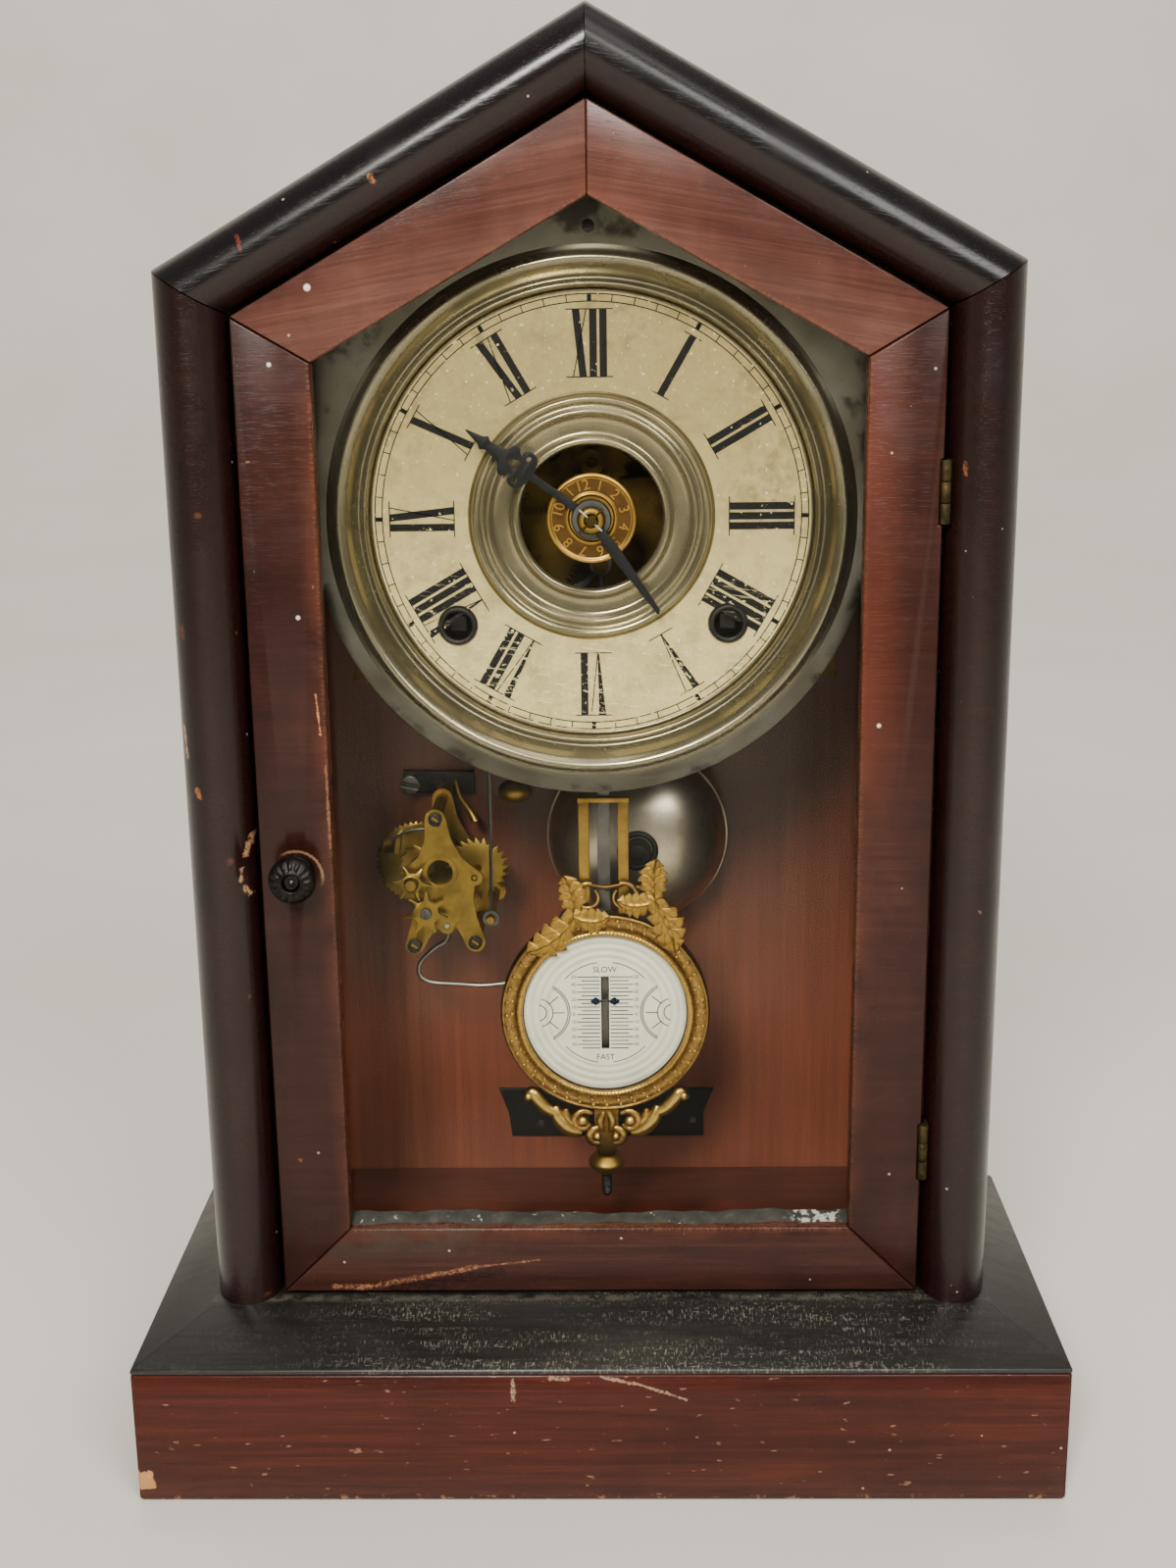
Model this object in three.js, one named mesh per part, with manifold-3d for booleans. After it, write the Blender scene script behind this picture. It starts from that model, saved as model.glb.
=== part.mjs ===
// Gabled shelf clock with strike, centre alarm and a regulating pendulum bob.
// Millimetres, +Z up. The dial faces -Y and the origin lies under the middle of the base.

import * as THREE from 'three';
import { mergeVertices } from 'three/addons/utils/BufferGeometryUtils.js';
import Module from 'manifold-3d';

const wasm = await Module();
wasm.setup();

// Fits
const fit = 0.3;
const mitreGap = 0.2;
const simplifyBelow = 0.004;

// Base
const baseWidth = 270;
const baseDepth = 122;
const plinthHeight = 41;
const plinthBoard = 12;
const topBoard = 9;
const topLip = 1.5;
const bevelSide = 19.6;
const bevelFront = 23.5;

// Case
const eaveHeight = 348;
const apexHeight = 413;
const caseBoard = 10;
const backBoard = 7;
const mouldingWidth = 19.6;
const mouldingRound = 13;
const mouldingBacking = 7;

// Door
const doorGap = 1.4;
const doorSetback = 5.5;
const doorRail = 20.5;
const doorThickness = 13.5;
const rabbetWidth = 4.5;
const rabbetDepth = 6.5;
const paneThickness = 2;

// Hinges and latch
const hingeLength = 17;
const hingeHeights = { lower: 96, upper: 288 };
const hingeInset = 0.6;
const knuckleRadius = 1.5;
const hingePin = 0.7;
const leafThickness = 0.8;
const leafWidth = 11;
const latchHeight = 183.3;
const knobRadius = 6.7;
const knobReach = 11.5;
const spindleRadius = 2;
const hookReach = 17;
const hookWidth = 6;
const hookThickness = 1.2;

// Dial
const dialHeight = 280;
const sheetMetal = 0.8;
const flangeRadius = 78;
const flangeEar = 18;
const outerBead = 70;
const innerBead = 63.5;
const beadRise = 1.8;
const dialRecess = 6;
const chapterInner = 34;
const dialOpening = 20;
const paperThickness = 0.4;
const winderSpacing = 76.6;
const winderDrop = 30.2;
const winderHole = 4;
const grommetRadius = 5.5;

// Hands and alarm disc
const handThickness = 0.8;
const handSpace = 1.8;
const hourLength = 42.4;
const hourAngle = 306;
const minuteLength = 32;
const minuteAngle = 144;
const handHub = 4.6;
const discRadius = 12.5;
const discThickness = 1.2;
const discSpace = 1.5;

// Movement
const dialToPlate = 20.2;
const plateThickness = 1.5;
const pillarFoot = 9.5;
const plateFoot = { half: 72, drop: 50 };
const plateHead = { half: 53, rise: 46 };
const pillarRadius = 3;
const pillarTenon = 2;
const lowerPillar = { x: 66, z: -41 };
const upperPillar = { x: 45, z: 39 };
const arborRadius = 1.4;
const pivotRadius = 0.8;
const studRadius = 1.6;
const winderRadius = 2.5;
const winderSquare = 4.2;
const centreArbor = 1.9;
const pipeWall = 1.1;

// Wheels: tooth counts and modules
const greatTeeth = 36;
const greatModule = 1.34;
const secondTeeth = 36;
const secondModule = 1.07;
const centreTeeth = 60;
const centreModule = 0.6;
const thirdTeeth = 60;
const thirdModule = 0.5;
const leaves = 6;
const escapeTeeth = 48;
const escapeRadius = 13.6;
const motionTeeth = 18;
const motionModule = 1.17;
const hourTeeth = 24;
const hourModule = 0.94;
const wheelThickness = 1.4;
const addendum = 0.75;
const dedendum = 1.2;
const ratchetTeeth = 12;
const ratchetRadius = 9;
const springTurns = 4;
const springInner = 3.4;
const springOuter = 22;
const springThickness = 0.6;

// Pendulum
const pendulumX = 2.2;
const suspensionDrop = 15.6;
const suspensionSpring = 20;
const crutchDrop = 34;
const bobHeight = 127.4;
const rodWidth = 3.8;
const rodThickness = 1.2;
const rodToPlate = 5.1;
const threadRadius = 1.7;
const threadEnd = 62;
const bobRadius = 32;
const bobGlassRadius = 24.9;
const bobThickness = 6;
const scaleSlot = { width: 2.6, height: 23.6 };
const pointerRise = 4;
const frameSpacing = 11.8;
const frameStrip = 3.2;
const frameTop = 66;
const nutRadius = 5.8;
const nutHeight = 6.5;
const bobFoot = 47.5;
const threadRise = 15;
const boreRise = 22;
const stripFoot = 20;
const barOverhang = 2.2;
const barHeight = 3;
const dropHalf = 4;
const pendantRise = 3;

// Bell and strike hammer
const bellX = 12.6;
const bellHeight = 172.2;
const bellRadius = 29;
const bellDepth = 20;
const bellWall = 1.2;
const bellRimClear = 11;
const postRadius = 2;
const postHead = { radius: 4.4, tip: 2.6, height: 2.8, rim: 1.6 };
const postCollar = { radius: 3.6, depth: 2 };
const postFoot = { radius: 7, depth: 3 };
const hammerArbor = { x: -14, z: -42 };
const hammerHead = { x: -26, z: 188 };

// Alarm movement
const alarmX = -48.7;
const alarmHeight = 167.6;
const alarmPlate = 1.5;
const alarmSpace = 23.5;
const alarmBackClear = 10.5;
const alarmScrews = [[-1, 17.1], [-8.7, -23.9], [10.4, -22.9]];
const alarmWinder = [-8.6, -2.6];
const alarmStud = [-4.4, -12.2];
const alarmEscapeAt = [10.6, -1.9];
const alarmHammerAt = [1.6, -17.6];
const alarmTripAt = [15.6, -14.4];
const alarmHole = 4.5;
const alarmGreatTeeth = 46;
const alarmLeaves = 20;
const alarmEscapeTeeth = 25;
const alarmEscapeRadius = 10.3;
const alarmHammerHead = { x: -9, z: 147.5, radius: 3.6 };
const alarmHammerBends = [[-8, -13], [4, -20]];
const alarmHammerLift = 8;
const alarmHammerBehind = 4;
const alarmWireRadius = 0.7;
const alarmBracket = { left: -14.3, right: 8.5, low: 16.5, high: 23.5, depth: 2.5 };
const alarmScrewRadius = 1.2;
const alarmFootRadius = 3;
const tripBelowDial = 24;
const tripBend = 18;
const tripEyeRadius = 2.6;
const tripWireRadius = 0.6;
const winderStarPoints = 6;
const studStarPoints = 7;

// Planes and lines worked out from the sizes
const TAU = Math.PI * 2;
const front = -baseDepth / 2;
const back = baseDepth / 2;
const baseHalf = baseWidth / 2;
const baseTop = plinthHeight + topBoard;
const caseHalf = baseHalf - bevelSide;
const roofAngle = Math.atan2(apexHeight - eaveHeight, caseHalf);
const crown = front + bevelFront;
const mouldingFlat = crown + mouldingRound;
const mouldingBack = mouldingFlat + mouldingBacking;
const boardFront = back - backBoard;
const doorInset = mouldingWidth + doorGap;
const doorFace = crown + doorSetback;
const doorBack = doorFace + doorThickness;
const dialSeat = mouldingBack + dialRecess;
const paperFace = dialSeat - paperThickness;
const discBack = paperFace - discSpace;
const hourBack = discBack - discThickness - discSpace;
const minuteBack = hourBack - handThickness - handSpace;
const plateFace = dialSeat + sheetMetal + dialToPlate;
const plateBack = plateFace + plateThickness;
const rearPlate = boardFront - pillarFoot - plateThickness;
const plateSpace = rearPlate - plateBack;
const rodFace = plateFace - rodToPlate - rodThickness;

// Finishes, as the object shows them
const finish = (color, roughness, metalness = 0) => () =>
  new THREE.MeshStandardMaterial({ color, roughness, metalness });
const mahogany = finish('#5f2616', 0.38);
const ebonised = finish('#1d1210', 0.35);
const bareWood = finish('#6d4428', 0.8);
const brass = finish('#a8843a', 0.35, 1);
const gilt = finish('#c29a4b', 0.42, 1);
const steel = finish('#5b5c5e', 0.4, 1);
const blued = finish('#16161a', 0.5, 0.6);
const nickel = finish('#4d4b47', 0.35, 1);
const paper = finish('#d9c491', 0.85);
const glass = () => new THREE.MeshStandardMaterial({
  color: '#dfe6e2', roughness: 0.05, transparent: true, opacity: 0.25 });

// Mesh tools

// Positions only, shared corners merged, empty faces dropped, faces turned outward.
function closed(geometry) {
  const bare = new THREE.BufferGeometry();
  bare.setAttribute('position', geometry.getAttribute('position'));
  bare.setIndex(geometry.index);
  const merged = mergeVertices(bare);
  const { array } = merged.getAttribute('position');
  const corner = (i) => new THREE.Vector3().fromArray(array, 3 * i);
  const faces = [];
  let volume = 0;
  for (let i = 0; i < merged.index.count; i += 3) {
    const [a, b, c] = [0, 1, 2].map((k) => merged.index.getX(i + k));
    if (a === b || b === c || c === a) continue;
    volume += corner(a).dot(corner(b).cross(corner(c)));
    faces.push([a, b, c]);
  }
  merged.setIndex(faces.flatMap(([a, b, c]) => (volume < 0 ? [a, c, b] : [a, b, c])));
  return merged;
}

function toSolid(geometry) {
  const shell = closed(geometry);
  return new wasm.Manifold(new wasm.Mesh({
    numProp: 3,
    vertProperties: new Float32Array(shell.getAttribute('position').array),
    triVerts: new Uint32Array(shell.index.array),
  }));
}

function toGeometry(solid) {
  const mesh = solid.asOriginal().simplify(simplifyBelow).getMesh();
  const geometry = new THREE.BufferGeometry();
  geometry.setAttribute('position', new THREE.BufferAttribute(mesh.vertProperties, 3));
  geometry.setIndex([...mesh.triVerts]);
  return geometry;
}

const join = (...pieces) => toGeometry(pieces.map(toSolid).reduce((sum, piece) => sum.add(piece)));
const cut = (body, ...tools) =>
  toGeometry(tools.map(toSolid).reduce((rest, tool) => rest.subtract(tool), toSolid(body)));

// A flat piece cut to an outline of (x, z), between two planes of y.
function sheet(shape, yFront, yBack, curveSegments = 8) {
  const options = { depth: yBack - yFront, bevelEnabled: false, curveSegments };
  const geometry = new THREE.ExtrudeGeometry(shape, options);
  return closed(geometry.rotateX(Math.PI / 2).translate(0, yBack, 0));
}

// A piece turned about a line along Y; its profile is a list of (radius, y).
function turned(profile, sides = 12) {
  const points = profile.map(([radius, y]) => new THREE.Vector2(radius, y));
  return closed(new THREE.LatheGeometry(points, sides));
}

const rod = (radius, yFront, yBack, sides = 8) =>
  turned([[0, yFront], [radius, yFront], [radius, yBack], [0, yBack]], sides);

const ring = (inner, outer, yFront, yBack, sides = 24) =>
  turned([[inner, yFront], [outer, yFront], [outer, yBack], [inner, yBack], [inner, yFront]], sides);

const at = (geometry, [x, z]) => geometry.translate(x, 0, z);

const upright = (geometry) => geometry.rotateX(Math.PI / 2);

function block([x0, x1], [y0, y1], [z0, z1]) {
  const box = new THREE.BoxGeometry(x1 - x0, y1 - y0, z1 - z0);
  return closed(box.translate((x0 + x1) / 2, (y0 + y1) / 2, (z0 + z1) / 2));
}

// A round wire along a smooth line of points.
function wire(points, radius, steps = 12) {
  const path = new THREE.CatmullRomCurve3(points.map((point) => new THREE.Vector3(...point)));
  const section = new THREE.Shape().absarc(0, 0, radius, 0, TAU);
  return closed(new THREE.ExtrudeGeometry(section, { steps, extrudePath: path, curveSegments: 3 }));
}

// A bar of one section, (inset, y), whose ends follow two lines of mitre.
function mitred(section, from, to) {
  const count = section.length;
  const ends = [from, to].flatMap((end) => section.flatMap(([inset, y]) => end(inset, y)));
  const outline = section.map(([inset, y]) => new THREE.Vector2(inset, y));
  const cap = THREE.ShapeUtils.triangulateShape(outline, []);
  const faces = cap.flatMap(([a, b, c]) => [a, c, b, count + a, count + b, count + c]);
  for (let i = 0; i < count; i += 1) {
    const next = (i + 1) % count;
    faces.push(i, next, count + next, i, count + next, count + i);
  }
  const geometry = new THREE.BufferGeometry();
  geometry.setAttribute('position', new THREE.Float32BufferAttribute(ends, 3));
  geometry.setIndex(faces);
  return closed(geometry);
}

// Outline tools in the (x, z) plane

const polar = (radius, angle) => [radius * Math.cos(angle), radius * Math.sin(angle)];
const shapeOf = (points) => new THREE.Shape(points.map(([x, z]) => new THREE.Vector2(x, z)));
const disc = (radius, [x, z] = [0, 0]) => new THREE.Shape().absarc(x, z, radius, 0, TAU);

function bored(shape, radius, [x, z] = [0, 0]) {
  shape.holes.push(new THREE.Path().absarc(x, z, radius, 0, TAU, true));
  return shape;
}

// A straight strip with round ends between two points.
function strip([x0, z0], [x1, z1], halfWidth) {
  const along = Math.atan2(z1 - z0, x1 - x0);
  return new THREE.Shape()
    .absarc(x0, z0, halfWidth, along + Math.PI / 2, along - Math.PI / 2)
    .absarc(x1, z1, halfWidth, along - Math.PI / 2, along + Math.PI / 2);
}

// A strip along a curve whose half width follows a rule of 0 to 1.
function frond(curve, halfWidth, steps = 10) {
  const sides = [[], []];
  for (let i = 0; i <= steps; i += 1) {
    const t = i / steps;
    const spine = curve.getPoint(t);
    const tangent = curve.getTangent(t);
    const reach = halfWidth(t);
    sides[0].push([spine.x - tangent.y * reach, spine.y + tangent.x * reach]);
    sides[1].unshift([spine.x + tangent.y * reach, spine.y - tangent.x * reach]);
  }
  return shapeOf(sides.flat());
}

const bend = (...points) =>
  new THREE.QuadraticBezierCurve(...points.map(([x, z]) => new THREE.Vector2(x, z)));

// An outline mirrored about the Z axis from stations of (distance, half width).
function blade(stations) {
  const right = stations.map(([distance, half]) => [half, distance]);
  const left = stations.map(([distance, half]) => [-half, distance]).reverse();
  return shapeOf([...right, ...left]);
}

// Wheelwork

// A toothed rim; the shares give a tooth's width at root and tip as parts of the pitch.
function toothed(teeth, root, tip, phase, { rootShare = 1, tipShare = 0, lean = 0 } = {}) {
  const flank = [[root, -rootShare / 2], [tip, lean - tipShare / 2]];
  if (tipShare > 0) flank.push([tip, lean + tipShare / 2]);
  if (rootShare < 1) flank.push([root, rootShare / 2]);
  const corners = [];
  for (let i = 0; i < teeth; i += 1) {
    for (const [radius, offset] of flank) corners.push(polar(radius, phase + (i + offset) * TAU / teeth));
  }
  return shapeOf(corners);
}

const pitchRadius = (teeth, module) => teeth * module / 2;

// A crossed-out wheel with a tooth gap facing the given direction.
function wheel(teeth, module, facing, yFront, spokes, bore = 0) {
  const radius = pitchRadius(teeth, module);
  const root = radius - dedendum * module;
  const shape = toothed(teeth, root, radius + addendum * module, facing + Math.PI / teeth);
  const rim = root - 0.08 * radius - 0.8;
  const hub = bore + 0.22 * radius;
  const spokeHalf = 0.14;
  for (let i = 0; i < spokes; i += 1) {
    const start = facing + (i * TAU) / spokes + spokeHalf;
    const end = facing + ((i + 1) * TAU) / spokes - spokeHalf;
    const window = new THREE.Path().absarc(0, 0, rim, start, end).absarc(0, 0, hub, end, start, true);
    window.closePath();
    shape.holes.push(window);
  }
  const blank = sheet(shape, yFront, yFront + wheelThickness, 1);
  return bore ? cut(blank, rod(bore, yFront - 1, yFront + wheelThickness + 1, 12)) : blank;
}

// A lantern pinion: pins between two end discs, one pin facing the given direction.
function lantern(module, facing, yFront, yBack, core) {
  const radius = pitchRadius(leaves, module);
  const pin = 0.16 * Math.PI * module;
  const endDisc = 0.6;
  const pins = Array.from({ length: leaves }, (_, i) =>
    at(rod(pin, yFront, yBack, 4), polar(radius, facing + i * TAU / leaves)));
  const discs = [yFront - endDisc / 2, yBack - endDisc / 2].map((y) =>
    rod(radius + 2 * pin, y, y + endDisc, 8));
  return join(rod(core, yFront, yBack, 6), ...pins, ...discs);
}

// An arbor between the plates, with its pivots in their holes.
function arbor(yFront, yBack, through = plateThickness) {
  const [shoulder, end] = [yFront + fit, yBack - fit];
  return turned([[0, yFront - through], [pivotRadius, yFront - through], [pivotRadius, shoulder],
    [arborRadius, shoulder], [arborRadius, end], [pivotRadius, end],
    [pivotRadius, yBack + plateThickness], [0, yBack + plateThickness]], 8);
}

// Where two circles about two centres meet, on the given side of the line between them.
function meeting([ax, az], reachA, [bx, bz], reachB, side) {
  const span = Math.hypot(bx - ax, bz - az);
  const along = (reachA ** 2 - reachB ** 2 + span ** 2) / (2 * span);
  const off = side * Math.sqrt(reachA ** 2 - along ** 2);
  const [ux, uz] = [(bx - ax) / span, (bz - az) / span];
  return [ax + ux * along - uz * off, az + uz * along + ux * off];
}

const toward = ([ax, az], [bx, bz]) => Math.atan2(bz - az, bx - ax);

const clock = new THREE.Group();

function group(x = 0, z = 0) {
  const holder = new THREE.Group();
  holder.position.set(x, 0, z);
  clock.add(holder);
  return holder;
}

function place(parent, name, geometry, material, x = 0, z = 0) {
  const mesh = new THREE.Mesh(geometry, material());
  mesh.name = name;
  mesh.position.set(x, 0, z);
  parent.add(mesh);
  return mesh;
}

// Case: plinth, base top, boards and mouldings

const cabinet = group();

// The gabled outline of the case, moved inward by an inset.
function gable(inset) {
  const half = caseHalf - inset;
  const apex = apexHeight - inset / Math.cos(roofAngle);
  return { half, apex, eave: apex - half * Math.tan(roofAngle) };
}

const rakeGap = [mitreGap * Math.cos(roofAngle), mitreGap * Math.sin(roofAngle)];

// Mitre lines of an upright and of a rake, for any gabled outline.
const eaveEnd = (outline, side) => (inset, y) =>
  [side * outline(inset).half, y, outline(inset).eave - mitreGap];
const rakeFoot = (outline, side) => (inset, y) =>
  [side * (outline(inset).half - rakeGap[0]), y, outline(inset).eave + rakeGap[1]];
const rakeHead = (outline, side) => (inset, y) =>
  [side * rakeGap[0] / 2, y, outline(inset).apex - rakeGap[1] / 2];

const flatSection = (width, yFront, yBack) => [[0, yFront], [width, yFront], [width, yBack], [0, yBack]];

const plinthSection = flatSection(plinthBoard, 0, plinthHeight);
place(cabinet, 'plinth_front', mitred(plinthSection,
  (inset, z) => [-(baseHalf - inset - mitreGap), front + inset, z],
  (inset, z) => [baseHalf - inset - mitreGap, front + inset, z]), mahogany);
for (const [side, name] of [[-1, 'left'], [1, 'right']]) {
  place(cabinet, `plinth_${name}`, mitred(plinthSection,
    (inset, z) => [side * (baseHalf - inset), front + inset + mitreGap, z],
    (inset, z) => [side * (baseHalf - inset), back, z]), mahogany);
}

// The base top is one board, bevelled on three sides and notched for the back board.
const topOutline = [[-1, 0], [1, 0], [1, 1], [-1, 1]];
const topLevels = [[0, plinthHeight], [0, plinthHeight + topLip], [1, baseTop]];
const boardHalf = gable(caseBoard + fit).half;

function baseTopBoard() {
  const corners = topLevels.flatMap(([inset, z]) => topOutline.flatMap(([side, rear]) => [
    side * (baseHalf - inset * bevelSide), rear ? back : front + inset * bevelFront, z]));
  const faces = [0, 2, 1, 0, 3, 2, 8, 9, 10, 8, 10, 11];
  for (const level of [0, 4]) {
    for (let i = 0; i < 4; i += 1) {
      const next = (i + 1) % 4;
      faces.push(level + i, level + next, level + 4 + next, level + i, level + 4 + next, level + 4 + i);
    }
  }
  const board = new THREE.BufferGeometry();
  board.setAttribute('position', new THREE.Float32BufferAttribute(corners, 3));
  board.setIndex(faces);
  const notch = block([-boardHalf - fit, boardHalf + fit], [boardFront - fit, back + 1], [0, baseTop + 1]);
  return cut(board, notch);
}
place(cabinet, 'base_top', baseTopBoard(), ebonised);

const boardSection = flatSection(caseBoard, mouldingBack, back);
const roundSteps = 10;
const mouldingSection = [[mouldingWidth, mouldingBack], [0, mouldingBack]];
for (let i = 0; i <= roundSteps; i += 1) {
  const angle = (i * Math.PI) / roundSteps;
  mouldingSection.push([mouldingWidth / 2 * (1 - Math.cos(angle)), mouldingFlat - mouldingRound * Math.sin(angle)]);
}

const hingeX = gable(mouldingWidth + doorGap / 2).half;
const hingeY = doorFace + hingeInset;
const leafStart = knuckleRadius + 0.4;
const hingeZones = Object.values(hingeHeights);

// Room cut in the wood for each hinge, from the barrel's line to the given side.
const mortises = ([x0, x1], [y0, y1]) => hingeZones.map((z) =>
  block([hingeX + x0, hingeX + x1], [hingeY + y0, hingeY + y1],
    [z - hingeLength / 2 - fit, z + hingeLength / 2 + fit]));

for (const [side, name] of [[-1, 'left'], [1, 'right']]) {
  const shelf = (inset, y) => [side * gable(inset).half, y, baseTop];
  place(cabinet, `side_${name}`, mitred(boardSection, shelf, eaveEnd(gable, side)), mahogany);
  place(cabinet, `roof_${name}`,
    mitred(boardSection, rakeFoot(gable, side), rakeHead(gable, side)), mahogany);
  const moulding = mitred(mouldingSection, shelf, eaveEnd(gable, side));
  const leafRoom = mortises([fit, 2 * leafThickness + fit - 0.1], [leafStart - fit, leafWidth + fit]);
  place(cabinet, `moulding_${name}`, side > 0 ? cut(moulding, ...leafRoom) : moulding, ebonised);
  place(cabinet, `moulding_rake_${name}`,
    mitred(mouldingSection, rakeFoot(gable, side), rakeHead(gable, side)), ebonised);
}

const inner = gable(caseBoard + fit);
const backOutline = shapeOf([[-inner.half, fit], [inner.half, fit], [inner.half, inner.eave],
  [0, inner.apex], [-inner.half, inner.eave]]);
place(cabinet, 'back_board', sheet(backOutline, boardFront, back), bareWood);

// Hinges: the case leaf carries the end knuckles and the pin, the door leaf the middle one

const knuckle = (hingeLength - 2 * fit) / 3;
const endKnuckle = [knuckle / 2 + fit, hingeLength / 2];

function caseLeaf() {
  const sideX = [knuckleRadius - leafThickness - 0.1, knuckleRadius - 0.1];
  const halves = [1, -1].flatMap((up) => {
    const zone = endKnuckle.map((z) => up * z).sort((a, b) => a - b);
    return [upright(rod(knuckleRadius, ...zone)), block(sideX, [0, leafStart + fit], zone)];
  });
  const leaf = block(sideX, [leafStart, leafWidth], [-hingeLength / 2, hingeLength / 2]);
  return join(leaf, upright(rod(hingePin, -hingeLength / 2, hingeLength / 2)), ...halves);
}

function doorLeaf() {
  const sideX = [0.1 - knuckleRadius, leafThickness + 0.1 - knuckleRadius];
  const zone = [-knuckle / 2, knuckle / 2];
  const leaf = block(sideX, [leafStart, leafWidth], [-hingeLength / 2, hingeLength / 2]);
  const barrel = upright(rod(knuckleRadius, ...zone));
  const tab = block(sideX, [0, leafStart + fit], zone);
  return cut(join(leaf, barrel, tab), upright(rod(hingePin + fit, -hingeLength, hingeLength)));
}

for (const [name, z] of Object.entries(hingeHeights)) {
  place(cabinet, `hinge_${name}_case`, caseLeaf(), brass, hingeX, z).position.y = hingeY;
}

// Door: five mitred rails round a pane, a knob and its hook

const door = group();

function doorLine(inset) {
  return { ...gable(doorInset + inset), foot: baseTop + doorGap + inset };
}

const paneFace = doorFace + doorThickness - rabbetDepth;
const railSection = [[0, doorFace], [doorRail, doorFace], [doorRail, paneFace],
  [doorRail - rabbetWidth, paneFace], [doorRail - rabbetWidth, doorBack], [0, doorBack]];
const latchX = -doorLine(doorRail / 2).half;
const spindleHole = at(rod(spindleRadius + fit, doorFace - 1, doorBack + 1), [latchX, latchHeight]);
const stileCuts = {
  left: [spindleHole],
  right: mortises([-knuckleRadius - 0.2, doorGap], [-2, leafWidth + fit]),
};

for (const [side, name] of [[-1, 'left'], [1, 'right']]) {
  const foot = (inset, y) => [side * doorLine(inset).half, y, doorLine(inset).foot + mitreGap];
  const stile = mitred(railSection, foot, eaveEnd(doorLine, side));
  place(door, `door_stile_${name}`, cut(stile, ...stileCuts[name]), mahogany);
  place(door, `door_rake_${name}`,
    mitred(railSection, rakeFoot(doorLine, side), rakeHead(doorLine, side)), mahogany);
}
const railEnd = (side) => (inset, y) =>
  [side * (doorLine(inset).half - mitreGap), y, doorLine(inset).foot];
place(door, 'door_rail', mitred(railSection, railEnd(-1), railEnd(1)), mahogany);

const sight = doorLine(doorRail - rabbetWidth + fit);
const paneOutline = shapeOf([[-sight.half, sight.foot], [sight.half, sight.foot],
  [sight.half, sight.eave], [0, sight.apex], [-sight.half, sight.eave]]);
place(door, 'door_glass', sheet(paneOutline, paneFace + fit, paneFace + fit + paneThickness), glass);

for (const [name, z] of Object.entries(hingeHeights)) {
  place(door, `hinge_${name}_door`, doorLeaf(), brass, hingeX, z).position.y = hingeY;
}

const hookFront = mouldingBack + 0.4;
const hookBack = hookFront + hookThickness;
const knobFoot = doorFace - fit;
const knobNeck = knobFoot - knobReach / 2;
const knobFront = knobFoot - knobReach;
const knobProfile = [[0, knobFront + 2], [knobRadius * 0.3, knobFront + 2], [knobRadius * 0.45, knobFront],
  [knobRadius * 0.8, knobFront + 0.8], [knobRadius, knobFront + 2.2], [knobRadius, knobNeck - 1.2],
  [knobRadius * 0.5, knobNeck + 0.6], [knobRadius * 0.5, knobFoot - 1.4], [knobRadius * 0.75, knobFoot - 0.8],
  [knobRadius * 0.75, knobFoot], [spindleRadius, knobFoot], [spindleRadius, hookBack + 0.8], [0, hookBack + 0.8]];
place(door, 'door_knob', turned(knobProfile, 16), nickel, latchX, latchHeight);
const hookShape = bored(strip([0, 0], [0, hookReach - hookWidth / 2], hookWidth / 2), spindleRadius + fit);
place(door, 'latch_hook', sheet(hookShape, hookFront, hookBack, 4), brass, latchX, latchHeight);

// Dial: a pressed pan behind the door, a paper dial, the hands and the alarm disc

const dial = group(0, dialHeight);
const winders = { strike: [-winderSpacing / 2, -winderDrop], time: [winderSpacing / 2, -winderDrop] };
const winderPoints = Object.values(winders);
const seatEdge = innerBead - 1.6;

function dialPan() {
  const earAngle = Math.asin(flangeEar / flangeRadius);
  const flange = new THREE.Shape();
  flange.moveTo(inner.half, -flangeEar);
  flange.lineTo(inner.half, inner.eave - dialHeight);
  flange.lineTo(0, inner.apex - dialHeight);
  flange.lineTo(-inner.half, inner.eave - dialHeight);
  flange.lineTo(-inner.half, -flangeEar);
  flange.absarc(0, 0, flangeRadius, Math.PI + earAngle, TAU - earAngle);
  bored(flange, outerBead + 2);
  const pressed = [[outerBead + 3, 0], [outerBead, -beadRise], [outerBead - 2.5, 0.6],
    [innerBead + 1.6, dialRecess - beadRise], [innerBead, dialRecess - beadRise - 1.4], [seatEdge, dialRecess],
    [chapterInner, dialRecess], [chapterInner - 2.4, dialRecess - beadRise], [chapterInner - 7, dialRecess],
    [dialOpening + 2.5, dialRecess], [dialOpening, dialRecess - 1.2]];
  const face = pressed.map(([radius, depth]) => [radius, mouldingBack + depth]);
  const rear = face.map(([radius, y]) => [radius, y + sheetMetal]).reverse();
  const dish = turned([...face, ...rear, face[0]], 26);
  const rim = sheet(flange, mouldingBack, mouldingBack + sheetMetal, 12);
  const grommets = winderPoints.map((point) =>
    at(rod(grommetRadius, dialSeat - 1.2, dialSeat + sheetMetal, 16), point));
  const holes = winderPoints.map((point) =>
    at(rod(winderHole, dialSeat - 3, dialSeat + 3, 16), point));
  return cut(join(rim, dish, ...grommets), ...holes);
}
place(dial, 'dial_pan', dialPan(), gilt);

const paperShape = bored(disc(seatEdge - 2 * fit), chapterInner + 2 * fit);
for (const point of winderPoints) bored(paperShape, grommetRadius + fit, point);
place(dial, 'dial_paper', sheet(paperShape, paperFace, dialSeat, 10), paper);

const pipeInner = centreArbor + fit;
const pipeOuter = pipeInner + pipeWall;
const hubHole = pipeOuter + fit;

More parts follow.
